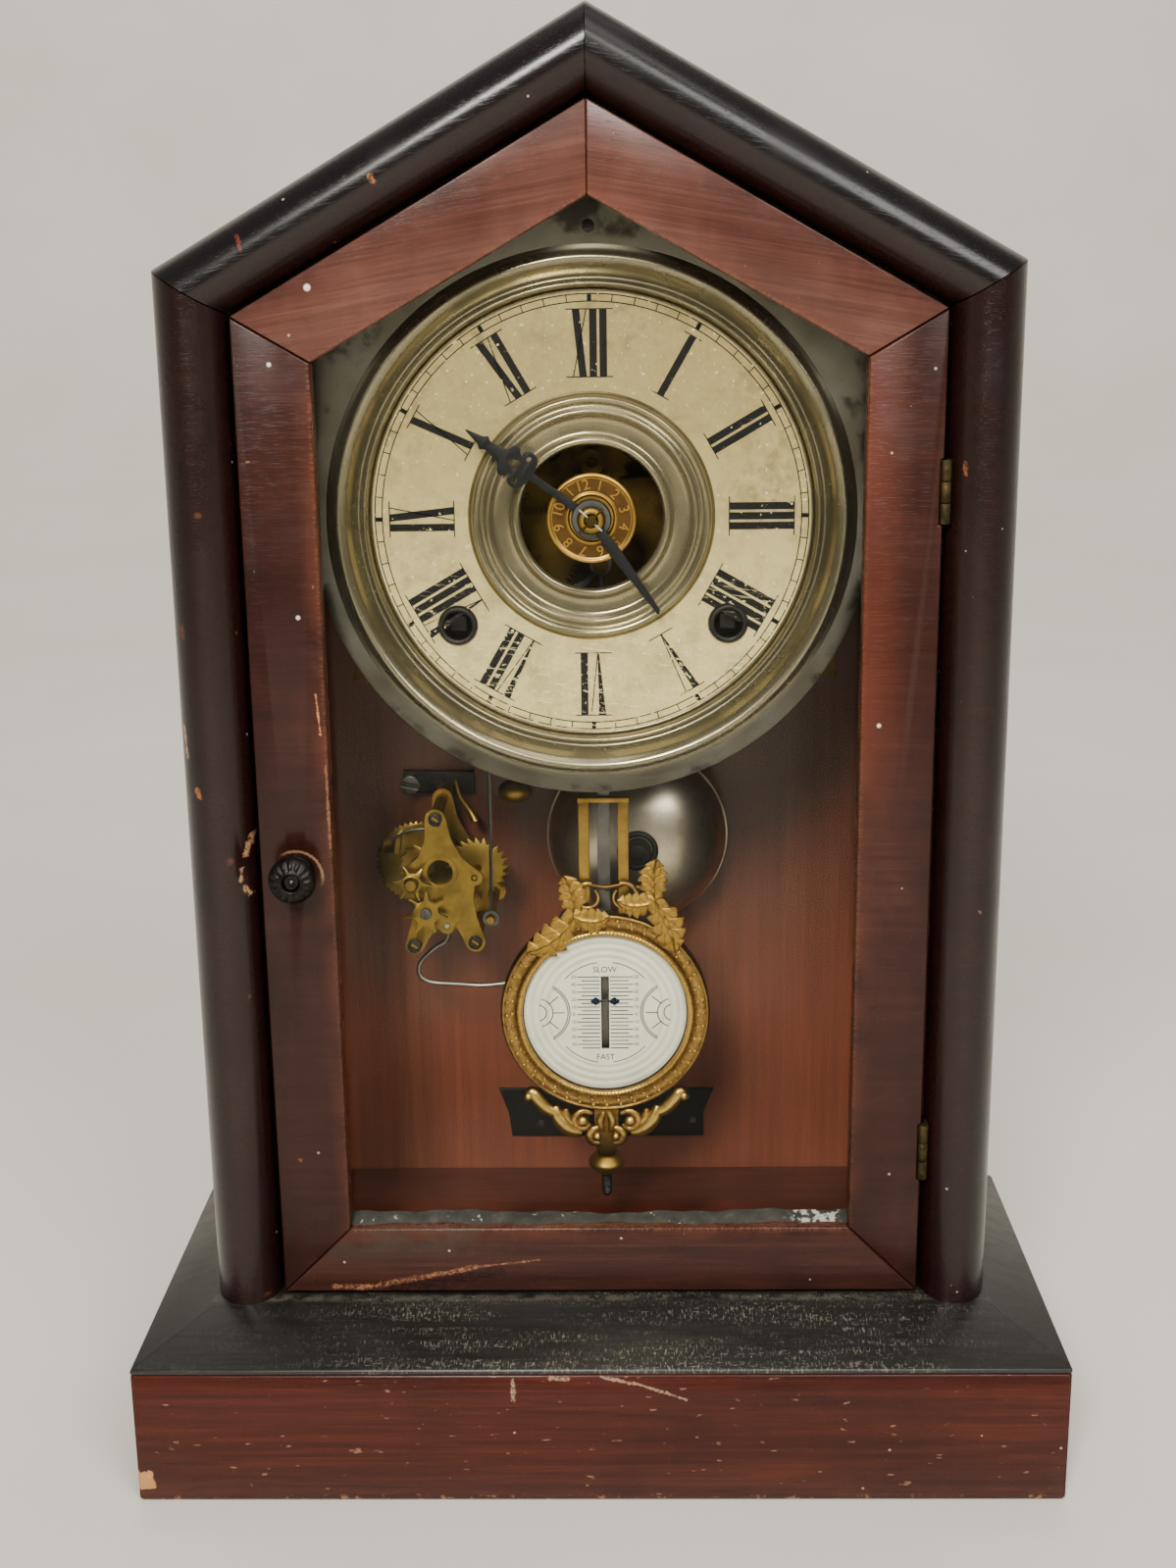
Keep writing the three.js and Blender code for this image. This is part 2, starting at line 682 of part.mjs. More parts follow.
const hourStations = [[handHub - 1, 1.2], [0.48 * hourLength, 1.2], [0.5 * hourLength, 3.4],
  [0.53 * hourLength, 5.2], [0.57 * hourLength, 5.5], [0.6 * hourLength, 4.4], [0.62 * hourLength, 3.5],
  [0.645 * hourLength, 4.4], [0.67 * hourLength, 4.4], [0.69 * hourLength, 3.3], [0.71 * hourLength, 2.1],
  [0.78 * hourLength, 1.6], [0.83 * hourLength, 1.3], [0.86 * hourLength, 1.9], [0.89 * hourLength, 1.1],
  [hourLength, 0.2]];
const hourPiercing = at(rod(1.2, hourBack - 2, hourBack + 1, 8), [0, 0.625 * hourLength]);
const hourHub = ring(hubHole, handHub + 1, hourBack - handThickness - 0.4, hourBack, 20);
const hourBlade = sheet(blade(hourStations), hourBack - handThickness, hourBack);
const hourBore = rod(hubHole, hourBack - 3, hourBack + 1, 20);
place(dial, 'hour_hand', cut(join(hourHub, hourBlade), hourBore, hourPiercing), blued)
  .rotation.y = THREE.MathUtils.degToRad(hourAngle);

const minuteFront = minuteBack - handThickness;
const minuteHub = rod(handHub - 0.7, minuteFront - 0.5, minuteBack, 20);
const minuteBlade = sheet(blade([[handHub - 1.5, 1.7], [minuteLength, 0.9]]), minuteFront, minuteBack);
const squareHalf = centreArbor * Math.SQRT1_2 + fit;
const squareHole = block([-squareHalf, squareHalf], [minuteFront - 2, minuteBack + 2], [-squareHalf, squareHalf]);
place(dial, 'minute_hand', cut(join(minuteHub, minuteBlade), squareHole), blued)
  .rotation.y = THREE.MathUtils.degToRad(minuteAngle);

const discFront = discBack - discThickness;
const discProfile = [[hubHole, discBack], [hubHole, discFront + 0.4], [discRadius * 0.48, discFront + 0.4],
  [discRadius * 0.52, discFront], [discRadius * 0.58, discFront + 0.4], [discRadius * 0.9, discFront + 0.4],
  [discRadius * 0.94, discFront], [discRadius, discFront], [discRadius, discBack], [hubHole, discBack]];
place(dial, 'alarm_disc', turned(discProfile, 20), gilt);

// Movement: two plates with the time train, the motion work and the strike side

const movement = group(0, dialHeight);
const origin = [0, 0];
const verge = [pendulumX, -suspensionDrop];
const mesh = (teeth, module) => pitchRadius(teeth + leaves, module);
const second = meeting(origin, mesh(secondTeeth, secondModule),
  winders.time, mesh(greatTeeth, greatModule), 1);
const escape = meeting(origin, pitchRadius(centreTeeth, centreModule) + arborRadius + 1.4,
  verge, 1.42 * escapeRadius, -1);
const third = meeting(origin, mesh(centreTeeth, centreModule),
  escape, mesh(thirdTeeth, thirdModule), -1);
const motion = [0, mesh(motionTeeth, motionModule)];
const hammerPivot = [hammerArbor.x, hammerArbor.z];
const pillars = [lowerPillar, upperPillar].flatMap(({ x, z }) => [[x, z], [-x, z]]);

// Depths behind the front plate
const springY = plateBack + 0.1 * plateSpace;
const springWidth = 0.48 * plateSpace;
const ratchetY = springY + springWidth + 0.02 * plateSpace;
const greatY = ratchetY + wheelThickness + 0.4;
const secondY = greatY + wheelThickness + 1.9;
const centreY = plateBack + 0.25 * plateSpace;
const thirdY = centreY + wheelThickness + 0.11 * plateSpace;
// Depths before the front plate
const escapeY = plateFace - wheelThickness - 2;
const motionY = plateFace - wheelThickness - 1.2;
const hourY = motionY - wheelThickness - 2.3;

// A pinion's pins reach past both faces of the wheel that drives it.
const pinionReach = 0.8;
const pinionAt = (wheelY) => [wheelY - pinionReach, wheelY + wheelThickness + pinionReach];

const plateOutline = () => shapeOf([[-plateFoot.half, -plateFoot.drop], [plateFoot.half, -plateFoot.drop],
  [plateHead.half, plateHead.rise], [-plateHead.half, plateHead.rise]]);

function window([x0, x1], [z0, z1]) {
  const path = new THREE.Path();
  path.moveTo(x0, z0).lineTo(x1, z0).lineTo(x1, z1).lineTo(x0, z1).closePath();
  return path;
}

function frontPlate() {
  const shape = plateOutline();
  const windows = [[[9, 38], [9, 36]], [[-38, -9], [14, 36]], [[-10, 10], [-45, -24]]];
  for (const [x, z] of windows) shape.holes.push(window(x, z));
  for (const point of winderPoints) bored(shape, winderRadius + fit, point);
  for (const point of [second, third, hammerPivot]) bored(shape, pivotRadius + fit, point);
  for (const point of pillars) bored(shape, pillarTenon + fit, point);
  bored(bored(shape, centreArbor + fit), arborRadius + fit, escape);
  const studHead = rodFace - 1.3;
  const vergeStud = turned([[0, studHead], [1.5 * studRadius, studHead], [1.5 * studRadius, studHead + 0.8],
    [studRadius, studHead + 0.8], [studRadius, plateBack], [0, plateBack]]);
  const motionStud = rod(1.2, hourY - 1.2, plateBack);
  return join(sheet(shape, plateFace, plateBack, 4), at(vergeStud, verge), at(motionStud, motion));
}
place(movement, 'front_plate', frontPlate(), brass);

function rearPlateWithPillars() {
  const shape = plateOutline();
  shape.holes.push(window([-20, 20], [20, 40]));
  const pivots = [second, third, escape, origin, hammerPivot];
  for (const point of pivots) bored(shape, pivotRadius + fit, point);
  for (const point of winderPoints) bored(shape, winderRadius * 0.6 + fit, point);
  const pillar = turned([[0, plateFace - 2.5], [pillarTenon, plateFace - 2.5], [pillarTenon, plateBack],
    [pillarRadius, plateBack], [pillarRadius, rearPlate + plateThickness],
    [pillarRadius * 1.4, boardFront], [0, boardFront]], 8);
  return join(sheet(shape, rearPlate, rearPlate + plateThickness, 4),
    ...pillars.map((point) => at(pillar.clone(), point)));
}
place(movement, 'back_plate', rearPlateWithPillars(), brass);

// A mainspring, open like a watch spring, wound on its arbor.
function mainspring() {
  const steps = 12 * springTurns;
  const line = Array.from({ length: steps + 1 }, (_, i) => {
    const turn = i / steps;
    return [springInner + (springOuter - springInner) * turn, turn * springTurns * TAU];
  });
  const edge = (offset) => line.map(([radius, angle]) => polar(radius + offset, angle));
  return sheet(shapeOf([...edge(springThickness / 2), ...edge(-springThickness / 2).reverse()]),
    springY, springY + springWidth);
}
const coilGap = (springOuter - springInner) / springTurns - springThickness;
console.log(`mainspring turns lie ${coilGap.toFixed(2)} mm apart`);

// A winding arbor with its ratchet and key square.
function windingArbor() {
  const end = rearPlate + plateThickness;
  const shaft = turned([[0, plateFace - 1.4], [winderRadius, plateFace - 1.4], [winderRadius, rearPlate - fit],
    [winderRadius * 0.6, rearPlate - fit], [winderRadius * 0.6, end], [0, end]]);
  const ratchet = toothed(ratchetTeeth, ratchetRadius - 1.6, ratchetRadius, 0,
    { lean: 0.4 });
  const half = winderSquare / 2;
  const squareFront = dialSeat + sheetMetal + 2.5;
  const square = block([-half, half], [squareFront, plateFace - 1], [-half, half]);
  return join(shaft, square, sheet(ratchet, ratchetY, ratchetY + wheelThickness));
}

// A great wheel with the click that holds its ratchet.
function greatWheel(facing) {
  const rim = wheel(greatTeeth, greatModule, facing, greatY, 4, winderRadius + fit);
  const heel = facing + TAU / 4;
  const click = strip(polar(ratchetRadius + 5.5, heel), polar(ratchetRadius + 1.9, heel + 0.42), 1.2);
  return join(rim, sheet(click, ratchetY, greatY + wheelThickness / 2, 3));
}

for (const [name, [x, z]] of Object.entries(winders)) {
  place(movement, `${name}_mainspring`, mainspring(), steel, x, z);
  place(movement, `${name}_winding_arbor`, windingArbor(), steel, x, z);
  place(movement, `${name}_great_wheel`, greatWheel(toward([x, z], second)), brass, x, z);
}

const trainArbor = (...fittings) => join(arbor(plateBack, rearPlate), ...fittings);

// A lantern's core stays clear of the wheel teeth that pass between its pins.
const clearArbor = (pinion, shaft) => {
  const [yFront, yBack] = pinion;
  return cut(shaft, ring(pivotRadius * 0.8, arborRadius + 1, yFront, yBack, 12));
};

const secondPinion = pinionAt(greatY);
place(movement, 'second_wheel', trainArbor(
  wheel(secondTeeth, secondModule, toward(second, origin), secondY, 4),
  lantern(greatModule, toward(second, winders.time), ...secondPinion, arborRadius)),
brass, ...second);

const cannonPins = pinionAt(motionY);
const arborTip = minuteFront - handSpace;

function centreWheel() {
  const end = rearPlate + plateThickness;
  const shaft = turned([[0, minuteBack + 0.6], [centreArbor, minuteBack + 0.6], [centreArbor, rearPlate - fit],
    [pivotRadius, rearPlate - fit], [pivotRadius, end], [0, end]]);
  const half = centreArbor * Math.SQRT1_2;
  const square = block([-half, half], [arborTip, minuteBack + 0.8], [-half, half])
    .rotateY(THREE.MathUtils.degToRad(minuteAngle));
  const pin = new THREE.CylinderGeometry(0.4, 0.4, 9.2, 8).rotateZ(Math.PI / 4);
  pin.rotateX(-Math.PI / 2).translate(0, (arborTip + minuteFront - 0.5) / 2, 0);
  const pinion = pinionAt(secondY);
  const narrowed = cut(shaft, ring(arborRadius, centreArbor + 1, ...pinion, 12));
  return join(narrowed, square, pin,
    wheel(centreTeeth, centreModule, toward(origin, third), centreY, 4),
    lantern(secondModule, toward(origin, second), ...pinion, arborRadius),
    lantern(motionModule, toward(origin, motion), ...cannonPins, centreArbor));
}
place(movement, 'centre_wheel', centreWheel(), brass);

const thirdPinion = pinionAt(centreY);
place(movement, 'third_wheel', join(
  clearArbor(thirdPinion, arbor(plateBack, rearPlate)),
  wheel(thirdTeeth, thirdModule, toward(third, escape), thirdY, 4),
  lantern(centreModule, toward(third, origin), ...thirdPinion, pivotRadius * 0.8)),
brass, ...third);

const escapePinion = pinionAt(thirdY);
const escapeOutline = toothed(escapeTeeth, escapeRadius - 2.4, escapeRadius, 0,
  { lean: 0.35 });
place(movement, 'escape_wheel', join(
  clearArbor(escapePinion, turned([[0, escapeY - 1], [arborRadius, escapeY - 1], [arborRadius, rearPlate - fit],
    [pivotRadius, rearPlate - fit], [pivotRadius, rearPlate + plateThickness], [0, rearPlate + plateThickness]], 8)),
  sheet(escapeOutline, escapeY, escapeY + wheelThickness),
  lantern(thirdModule, toward(escape, third), ...escapePinion, pivotRadius * 0.7)),
brass, ...escape);

const motionWheel = join(
  wheel(motionTeeth, motionModule, toward(motion, origin), motionY, 0, 1.2 + fit),
  lantern(hourModule, toward(motion, origin), hourY - pinionReach, motionY + 0.4, 1.9));
place(movement, 'minute_wheel', cut(motionWheel, rod(1.2 + fit, hourY - 4, plateFace)), brass, ...motion);

const hourPipe = ring(pipeInner, pipeOuter, hourBack - handThickness - 0.8, hourY + wheelThickness, 16);
const hourRim = wheel(hourTeeth, hourModule, toward(origin, motion), hourY, 3, pipeInner);
place(movement, 'hour_wheel', join(hourPipe, hourRim), brass);

// The verge rocks on its stud, its two pallets astride the escape wheel.
const palletSpread = 0.55;
const palletClear = 1.7;

function vergeWithCrutch() {
  const local = ([x, z]) => [x - verge[0], z - verge[1]];
  const line = toward(escape, verge);
  const onWheel = (radius, turn) => {
    const [x, z] = polar(radius, line + turn);
    return local([escape[0] + x, escape[1] + z]);
  };
  const arms = [1, -1].flatMap((side) => {
    const knee = onWheel(escapeRadius + 3.6, side * palletSpread * 0.62);
    const pallet = onWheel(escapeRadius + palletClear, side * palletSpread);
    return [strip([0, 0], knee, 0.8), strip(knee, pallet, 0.8)];
  }).map((shape) => sheet(shape, escapeY, escapeY + wheelThickness, 3));
  const saddle = rod(2 * studRadius, escapeY - 0.3, plateFace - 0.4, 16);
  const prongX = rodWidth / 2 + fit + 0.5;
  const crossY = rodFace + rodThickness + 1.4;
  const crutch = wire([[0, plateFace - 1.2, -2], [0, plateFace - 1.2, -0.65 * crutchDrop],
    [0, crossY, -crutchDrop]], 0.6, 8);
  const prong = 0.5;
  const level = [-crutchDrop - prong, prong - crutchDrop];
  const cross = block([-prongX - prong, prongX + prong], [crossY - 0.6, crossY + prong], level);
  const prongs = [-prongX, prongX].map((x) => block([x - prong, x + prong], [rodFace - 0.8, crossY], level));
  return cut(join(saddle, crutch, cross, ...prongs, ...arms), rod(studRadius + fit, escapeY - 3, plateFace + 1));
}
place(movement, 'verge', vergeWithCrutch(), steel, ...verge);

// The strike hammer hangs from an arbor at the foot of the plates.
const hammerY = rearPlate - 5;
const headX = hammerHead.x - hammerArbor.x;
const headZ = hammerHead.z - dialHeight - hammerArbor.z;
const hammerEnd = new THREE.SphereGeometry(1, 10, 6).scale(5.5, 4.5, 4).translate(headX, hammerY, headZ);
place(movement, 'strike_hammer', join(arbor(plateBack, rearPlate), hammerEnd,
  wire([[0, hammerY, 0], [headX * 0.3, hammerY, headZ * 0.3], [headX, hammerY, headZ]], 0.8)),
brass, ...hammerPivot);

// Pendulum: a sprung rod that carries the pointer, a bob that slides on it, and the rating nut

const pendulum = group(pendulumX, 0);
const suspension = dialHeight - suspensionDrop;
const rodMiddle = rodFace + rodThickness / 2;
const threadTop = bobHeight - bobFoot + threadRise;
const bobFace = rodFace - 2.6;
const pointerY = bobFace - 0.9;

function pendulumRod() {
  const eye = at(ring(studRadius + fit, 2 * studRadius, rodFace - 0.2, rodFace + rodThickness + 0.9, 16), [0, suspension]);
  const spring = block([-0.25, 0.25], [rodFace, rodFace + rodThickness],
    [suspension - suspensionSpring - 2, suspension - 1.6 * studRadius]);
  const half = rodWidth / 2;
  const bar = block([-half, half], [rodFace, rodFace + rodThickness], [threadTop, suspension - suspensionSpring]);
  const thread = upright(rod(threadRadius, threadEnd, threadTop + 1)).translate(0, rodMiddle, 0);
  const pointerZ = bobHeight + pointerRise;
  const diamond = sheet(shapeOf([[-3, 0], [0, -2], [3, 0], [0, 2]]), pointerY, pointerY + 0.5);
  const stem = rod(0.8, pointerY, rodFace + 0.5, 8);
  return join(eye, spring, bar, thread, at(join(diamond, stem), [0, pointerZ]));
}
place(pendulum, 'pendulum_rod', pendulumRod(), steel);

// Two sprays of leaves, each from its stem to the leaf tips, and what scrolls above and below.
const sprays = [
  { stem: [-9.1, 32], tips: [[-12.1, 44], [-23.4, 20.6], [1, 30.8]] },
  { stem: [15.2, 36.7], tips: [[15.6, 49], [4.3, 36.7], [21.2, 20.3]] },
];
const scrolls = [[-4.4, 37.5], [5.4, 37.5]];
const scrollRadius = 4;
const lowerCurl = [22.6, -28.9];
const lowerBosses = [{ at: [7.4, -36.5], radius: 3.6 }, { at: [2.7, -41.4], radius: 2.4 }];

// A leaf with a toothed edge, bowed to one side.
function leaf([x0, z0], [x1, z1]) {
  const length = Math.hypot(x1 - x0, z1 - z0);
  const bow = 0.12;
  const middle = [(x0 + x1) / 2 - bow * (z1 - z0), (z0 + z1) / 2 + bow * (x1 - x0)];
  const teeth = 4;
  const tooth = (t) => 1 - 0.35 * Math.abs(Math.sin(teeth * Math.PI * t));
  const half = (t) => 0.3 + 0.24 * length * Math.sin(Math.PI * (0.15 + 0.85 * t)) ** 0.8 * tooth(t);
  return frond(bend([x0, z0], middle, [x1, z1]), half, 2 * teeth);
}

function bobOrnament() {
  const front = sprays.flatMap(({ stem, tips }) => tips.map((tip) => leaf(stem, tip)));
  const wires = scrolls.map((centre) => bored(disc(scrollRadius, centre), 0.6 * scrollRadius, centre));
  const armWidth = (t) => 1.3 + 1.9 * Math.sin(Math.PI * t) * (0.85 + 0.15 * Math.cos(8 * Math.PI * t));
  const lower = [1, -1].flatMap((side) => {
    const mirror = ([x, z]) => [side * x, z];
    const arm = bend(mirror(lowerCurl), mirror([lowerCurl[0] * 0.8, lowerBosses[0].at[1] + 1]),
      mirror(lowerBosses[0].at));
    return [frond(arm, armWidth, 6), disc(2.2, mirror(lowerCurl)),
      ...lowerBosses.map(({ at: centre, radius }) => disc(radius, mirror(centre)))];
  });
  return [
    ...front.map((shape) => sheet(shape, bobFace - 2.4, bobFace - 1.2)),
    ...wires.map((shape) => sheet(shape, bobFace - 2, bobFace + 1.6, 4)),
    ...lower.map((shape) => sheet(shape, bobFace + 0.7, bobFace + 2.3, 3)),
    sheet(leaf([0, -bobRadius], [0, pendantRise - bobFoot]), bobFace - 0.4, bobFace + 1),
  ];
}

function bobBody() {
  const lip = bobGlassRadius + fit;
  const rear = bobFace + bobThickness;
  const shell = turned([[0, bobFace], [lip, bobFace], [lip, bobFace - 1.5], [lip + 1, bobFace - 2.2],
    [lip + 2, bobFace - 1.8], [lip + 2.6, bobFace - 0.6], [bobRadius - 2.2, bobFace - 1.5],
    [bobRadius, bobFace], [bobRadius, bobFace + bobThickness * 0.6], [bobRadius - 4, rear], [0, rear]], 28);
  const stripY = [bobFace + 0.8, rodFace - fit];
  const strips = [-1, 1].map((side) => {
    const x = side * frameSpacing / 2;
    return block([x - frameStrip / 2, x + frameStrip / 2], stripY, [stripFoot, frameTop]);
  });
  const barHalf = frameSpacing / 2 + barOverhang;
  const topBar = block([-barHalf, barHalf], stripY, [frameTop - barHeight / 3, frameTop + 2 * barHeight / 3]);
  const drop = block([-dropHalf, dropHalf], [bobFace + 0.6, rear - 0.4], [-bobFoot, dropHalf - bobRadius]);
  const channelY = [rodFace - 0.6, rodFace + rodThickness + 0.6];
  const channelHalf = rodWidth / 2 + 0.5;
  const channel = block([-channelHalf, channelHalf], channelY, [-bobFoot - 1, bobRadius + 1]);
  const bore = upright(rod(threadRadius + fit, -bobFoot - 1, boreRise - bobFoot)).translate(0, rodMiddle, 0);
  const slotHalf = scaleSlot.width / 2;
  const slot = block([-slotHalf, slotHalf], [bobFace - 1, rodFace], [-scaleSlot.height / 2, scaleSlot.height / 2]);
  return cut(join(shell, ...strips, topBar, drop, ...bobOrnament()), channel, bore, slot);
}
place(pendulum, 'bob_body', bobBody(), gilt, 0, bobHeight);

const glassRise = 3.9;
const glassWall = 1;
const domeSteps = [0, 0.4, 0.75, 1];
const dome = (edge) => domeSteps.map((share) =>
  [bobGlassRadius * share, edge - glassRise * (1 - share ** 2)]);
place(pendulum, 'bob_glass', turned([...dome(bobFace - fit - glassWall),
  ...dome(bobFace - fit).reverse()], 24), glass, 0, bobHeight);

const nutFoot = bobHeight - bobFoot - fit - nutHeight;
const nutProfile = [[threadRadius + fit, 0], [nutRadius * 0.6, 0], [nutRadius, nutHeight * 0.38],
  [nutRadius, nutHeight * 0.62], [nutRadius * 0.6, nutHeight], [threadRadius + fit, nutHeight], [threadRadius + fit, 0]];
place(pendulum, 'rating_nut', upright(turned(nutProfile, 16)), brass, 0, nutFoot).position.y = rodMiddle;

// Bell on a post from the back board

const bellStand = group(bellX, bellHeight);
const bellRim = boardFront - bellRimClear;
const bellCrown = bellRim - bellDepth;
const bellHole = 2.2;

function bellDome() {
  const steps = 5;
  const line = (radius, depth) => Array.from({ length: steps + 1 }, (_, i) => {
    const angle = (i / steps) * Math.PI / 2;
    return [Math.max(bellHole, radius * Math.sin(angle)), bellRim - depth * Math.cos(angle)];
  });
  const outside = line(bellRadius, bellDepth);
  const inside = line(bellRadius - bellWall, bellDepth - bellWall).reverse();
  return turned([...outside, ...inside, outside[0]], 22);
}
place(bellStand, 'bell', bellDome(), nickel);
const collarFace = bellCrown + bellWall + fit;
place(bellStand, 'bell_post', turned([[0, bellCrown - postHead.height],
  [postHead.tip, bellCrown - postHead.height], [postHead.radius, bellCrown - postHead.rim],
  [postHead.radius, bellCrown - fit], [bellHole - fit, bellCrown - fit], [bellHole - fit, collarFace],
  [postCollar.radius, collarFace], [postCollar.radius, collarFace + postCollar.depth],
  [postRadius, collarFace + postCollar.depth], [postRadius, boardFront - postFoot.depth],
  [postFoot.radius, boardFront - postFoot.depth], [postFoot.radius, boardFront], [0, boardFront]]), steel);

// Alarm movement on the back board

const alarm = group(alarmX, alarmHeight);
const alarmRear = boardFront - alarmBackClear - alarmPlate;
const alarmFrontBack = alarmRear - alarmSpace;
const alarmFace = alarmFrontBack - alarmPlate;
const alarmModule = 2 * Math.hypot(alarmEscapeAt[0] - alarmWinder[0], alarmEscapeAt[1] - alarmWinder[1])
  / (alarmGreatTeeth + alarmLeaves);
const alarmPillar = 2;
const alarmStudRadius = 1.2;
const alarmWinderRadius = 2.2;
const starY = alarmFace - 3.6;
const alarmGreatY = alarmRear - wheelThickness - 4.2;
const alarmRatchetY = alarmGreatY - wheelThickness - 0.4;
const alarmEscapeY = alarmFrontBack + 8.5;

// The plates are round lobes, one for each screw and pivot, joined by hollow curves.
const [topScrew, leftScrew, rightScrew] = alarmScrews;
const lobes = [[topScrew, 3.2], [alarmWinder, 4.5], [leftScrew, 3], [alarmHammerAt, 2.6], [rightScrew, 3.2]];
const frontLobes = [...lobes, [alarmEscapeAt, 2.6]];
const rearLobes = [...lobes, [alarmTripAt, 3], [alarmEscapeAt, 2.6]];

function lobedPlate(yFront, corners) {
  const wrap = 1.4;
  const hollow = 0.12;
  const on = ([[x, z], radius], turn) => {
    const [dx, dz] = polar(radius, Math.atan2(z, x) + turn);
    return [x + dx, z + dz];
  };
  const shape = new THREE.Shape();
  corners.forEach((corner, i) => {
    const [x, z] = corner[0];
    const outward = Math.atan2(z, x);
    const following = corners[(i + 1) % corners.length];
    const [nx, nz] = following[0];
    const middle = [(x + nx) / 2, (z + nz) / 2];
    const pull = 1 - hollow * Math.hypot(nx - x, nz - z) / Math.hypot(...middle);
    if (i === 0) shape.moveTo(...on(corner, -wrap));
    shape.absarc(x, z, corner[1], outward - wrap, outward + wrap);
    shape.quadraticCurveTo(pull * middle[0], pull * middle[1], ...on(following, -wrap));
  });
  return join(sheet(shape, yFront, yFront + alarmPlate, 3),
    sheet(disc(alarmHole + 3), yFront, yFront + alarmPlate, 5));
}
const drill = (point, radius) => at(rod(radius, alarmFace - 1, alarmRear + alarmPlate + 1), point);

const alarmPivots = [alarmEscapeAt, alarmHammerAt];
place(alarm, 'alarm_front_plate', join(
  cut(lobedPlate(alarmFace, frontLobes), drill([0, 0], alarmHole),
    drill(alarmWinder, alarmWinderRadius + fit),
    ...alarmPivots.map((point) => drill(point, pivotRadius + fit)),
    ...alarmScrews.map((point) => drill(point, alarmScrewRadius + fit))),
  at(rod(alarmStudRadius, starY - 0.8, alarmFrontBack), alarmStud)), brass);

function alarmRearPlate() {
  const plate = cut(lobedPlate(alarmRear, rearLobes), drill([0, 0], alarmHole),
    drill(alarmWinder, alarmWinderRadius * 0.6 + fit),
    ...alarmPivots.map((point) => drill(point, pivotRadius + fit)));
  const pillar = turned([[0, alarmFace - 0.6], [alarmScrewRadius, alarmFace - 0.6],
    [alarmScrewRadius, alarmFrontBack], [alarmPillar, alarmFrontBack], [alarmPillar, alarmRear],
    [alarmFootRadius, alarmRear + alarmPlate], [alarmFootRadius, boardFront], [0, boardFront]], 8);
  const { left, right, low, high, depth } = alarmBracket;
  const bracket = block([left, right], [boardFront - depth, boardFront], [low, high]);
  const tripStud = at(rod(alarmStudRadius, starY - 0.8, alarmRear + alarmPlate), alarmTripAt);
  return join(plate, bracket, tripStud, ...alarmScrews.map((point) => at(pillar.clone(), point)));
}
place(alarm, 'alarm_back_plate', alarmRearPlate(), brass);

const starSpan = Math.hypot(alarmStud[0] - alarmWinder[0], alarmStud[1] - alarmWinder[1]);
const starPitch = (points) => starSpan * points / (winderStarPoints + studStarPoints);
const starReach = 1.25;
const starDepth = 1.6;

// Two stars in mesh stop the winding; one has a tooth on their line, the other a gap.
const star = (points, phase) => toothed(points, starPitch(points) - starDepth, starPitch(points) + starReach, phase,
  { rootShare: 0.5, tipShare: 0.1 });
const starLine = toward(alarmWinder, alarmStud);
const alarmEnd = alarmRear + alarmPlate;
place(alarm, 'alarm_winding_arbor', join(
  turned([[0, starY - 2.4], [1.8, starY - 2.4], [alarmWinderRadius, starY - 1], [alarmWinderRadius, alarmRear - fit],
    [alarmWinderRadius * 0.6, alarmRear - fit], [alarmWinderRadius * 0.6, alarmEnd], [0, alarmEnd]]),
  sheet(star(winderStarPoints, starLine), starY, starY + wheelThickness),
  sheet(toothed(ratchetTeeth, 5.2, 6.4, 0, { lean: 0.4 }),
    alarmRatchetY, alarmRatchetY + wheelThickness)), brass, ...alarmWinder);
place(alarm, 'alarm_stop_star', sheet(
  bored(star(studStarPoints, starLine + Math.PI + Math.PI / studStarPoints), alarmStudRadius + fit),
  starY, starY + wheelThickness, 4), brass, ...alarmStud);

const alarmDrive = toward(alarmWinder, alarmEscapeAt);
const alarmClick = strip(polar(10.4, 2.2), polar(7.9, 2.6), 0.9);
place(alarm, 'alarm_great_wheel', join(
  wheel(alarmGreatTeeth, alarmModule, alarmDrive, alarmGreatY, 0, alarmWinderRadius + fit),
  sheet(alarmClick, alarmRatchetY, alarmGreatY + wheelThickness / 2, 3)), brass, ...alarmWinder);

const alarmPins = pinionAt(alarmGreatY);
const alarmPinion = pitchRadius(alarmLeaves, alarmModule);
place(alarm, 'alarm_escape_wheel', join(
  arbor(alarmFrontBack, alarmRear),
  sheet(bored(toothed(alarmEscapeTeeth, alarmEscapeRadius - 2.2, alarmEscapeRadius, 0,
    { lean: 0.3 }), arborRadius * 0.5), alarmEscapeY, alarmEscapeY + wheelThickness),
  sheet(toothed(alarmLeaves, alarmPinion - dedendum * alarmModule, alarmPinion + addendum * alarmModule,
    alarmDrive + Math.PI), ...alarmPins)), brass, ...alarmEscapeAt);

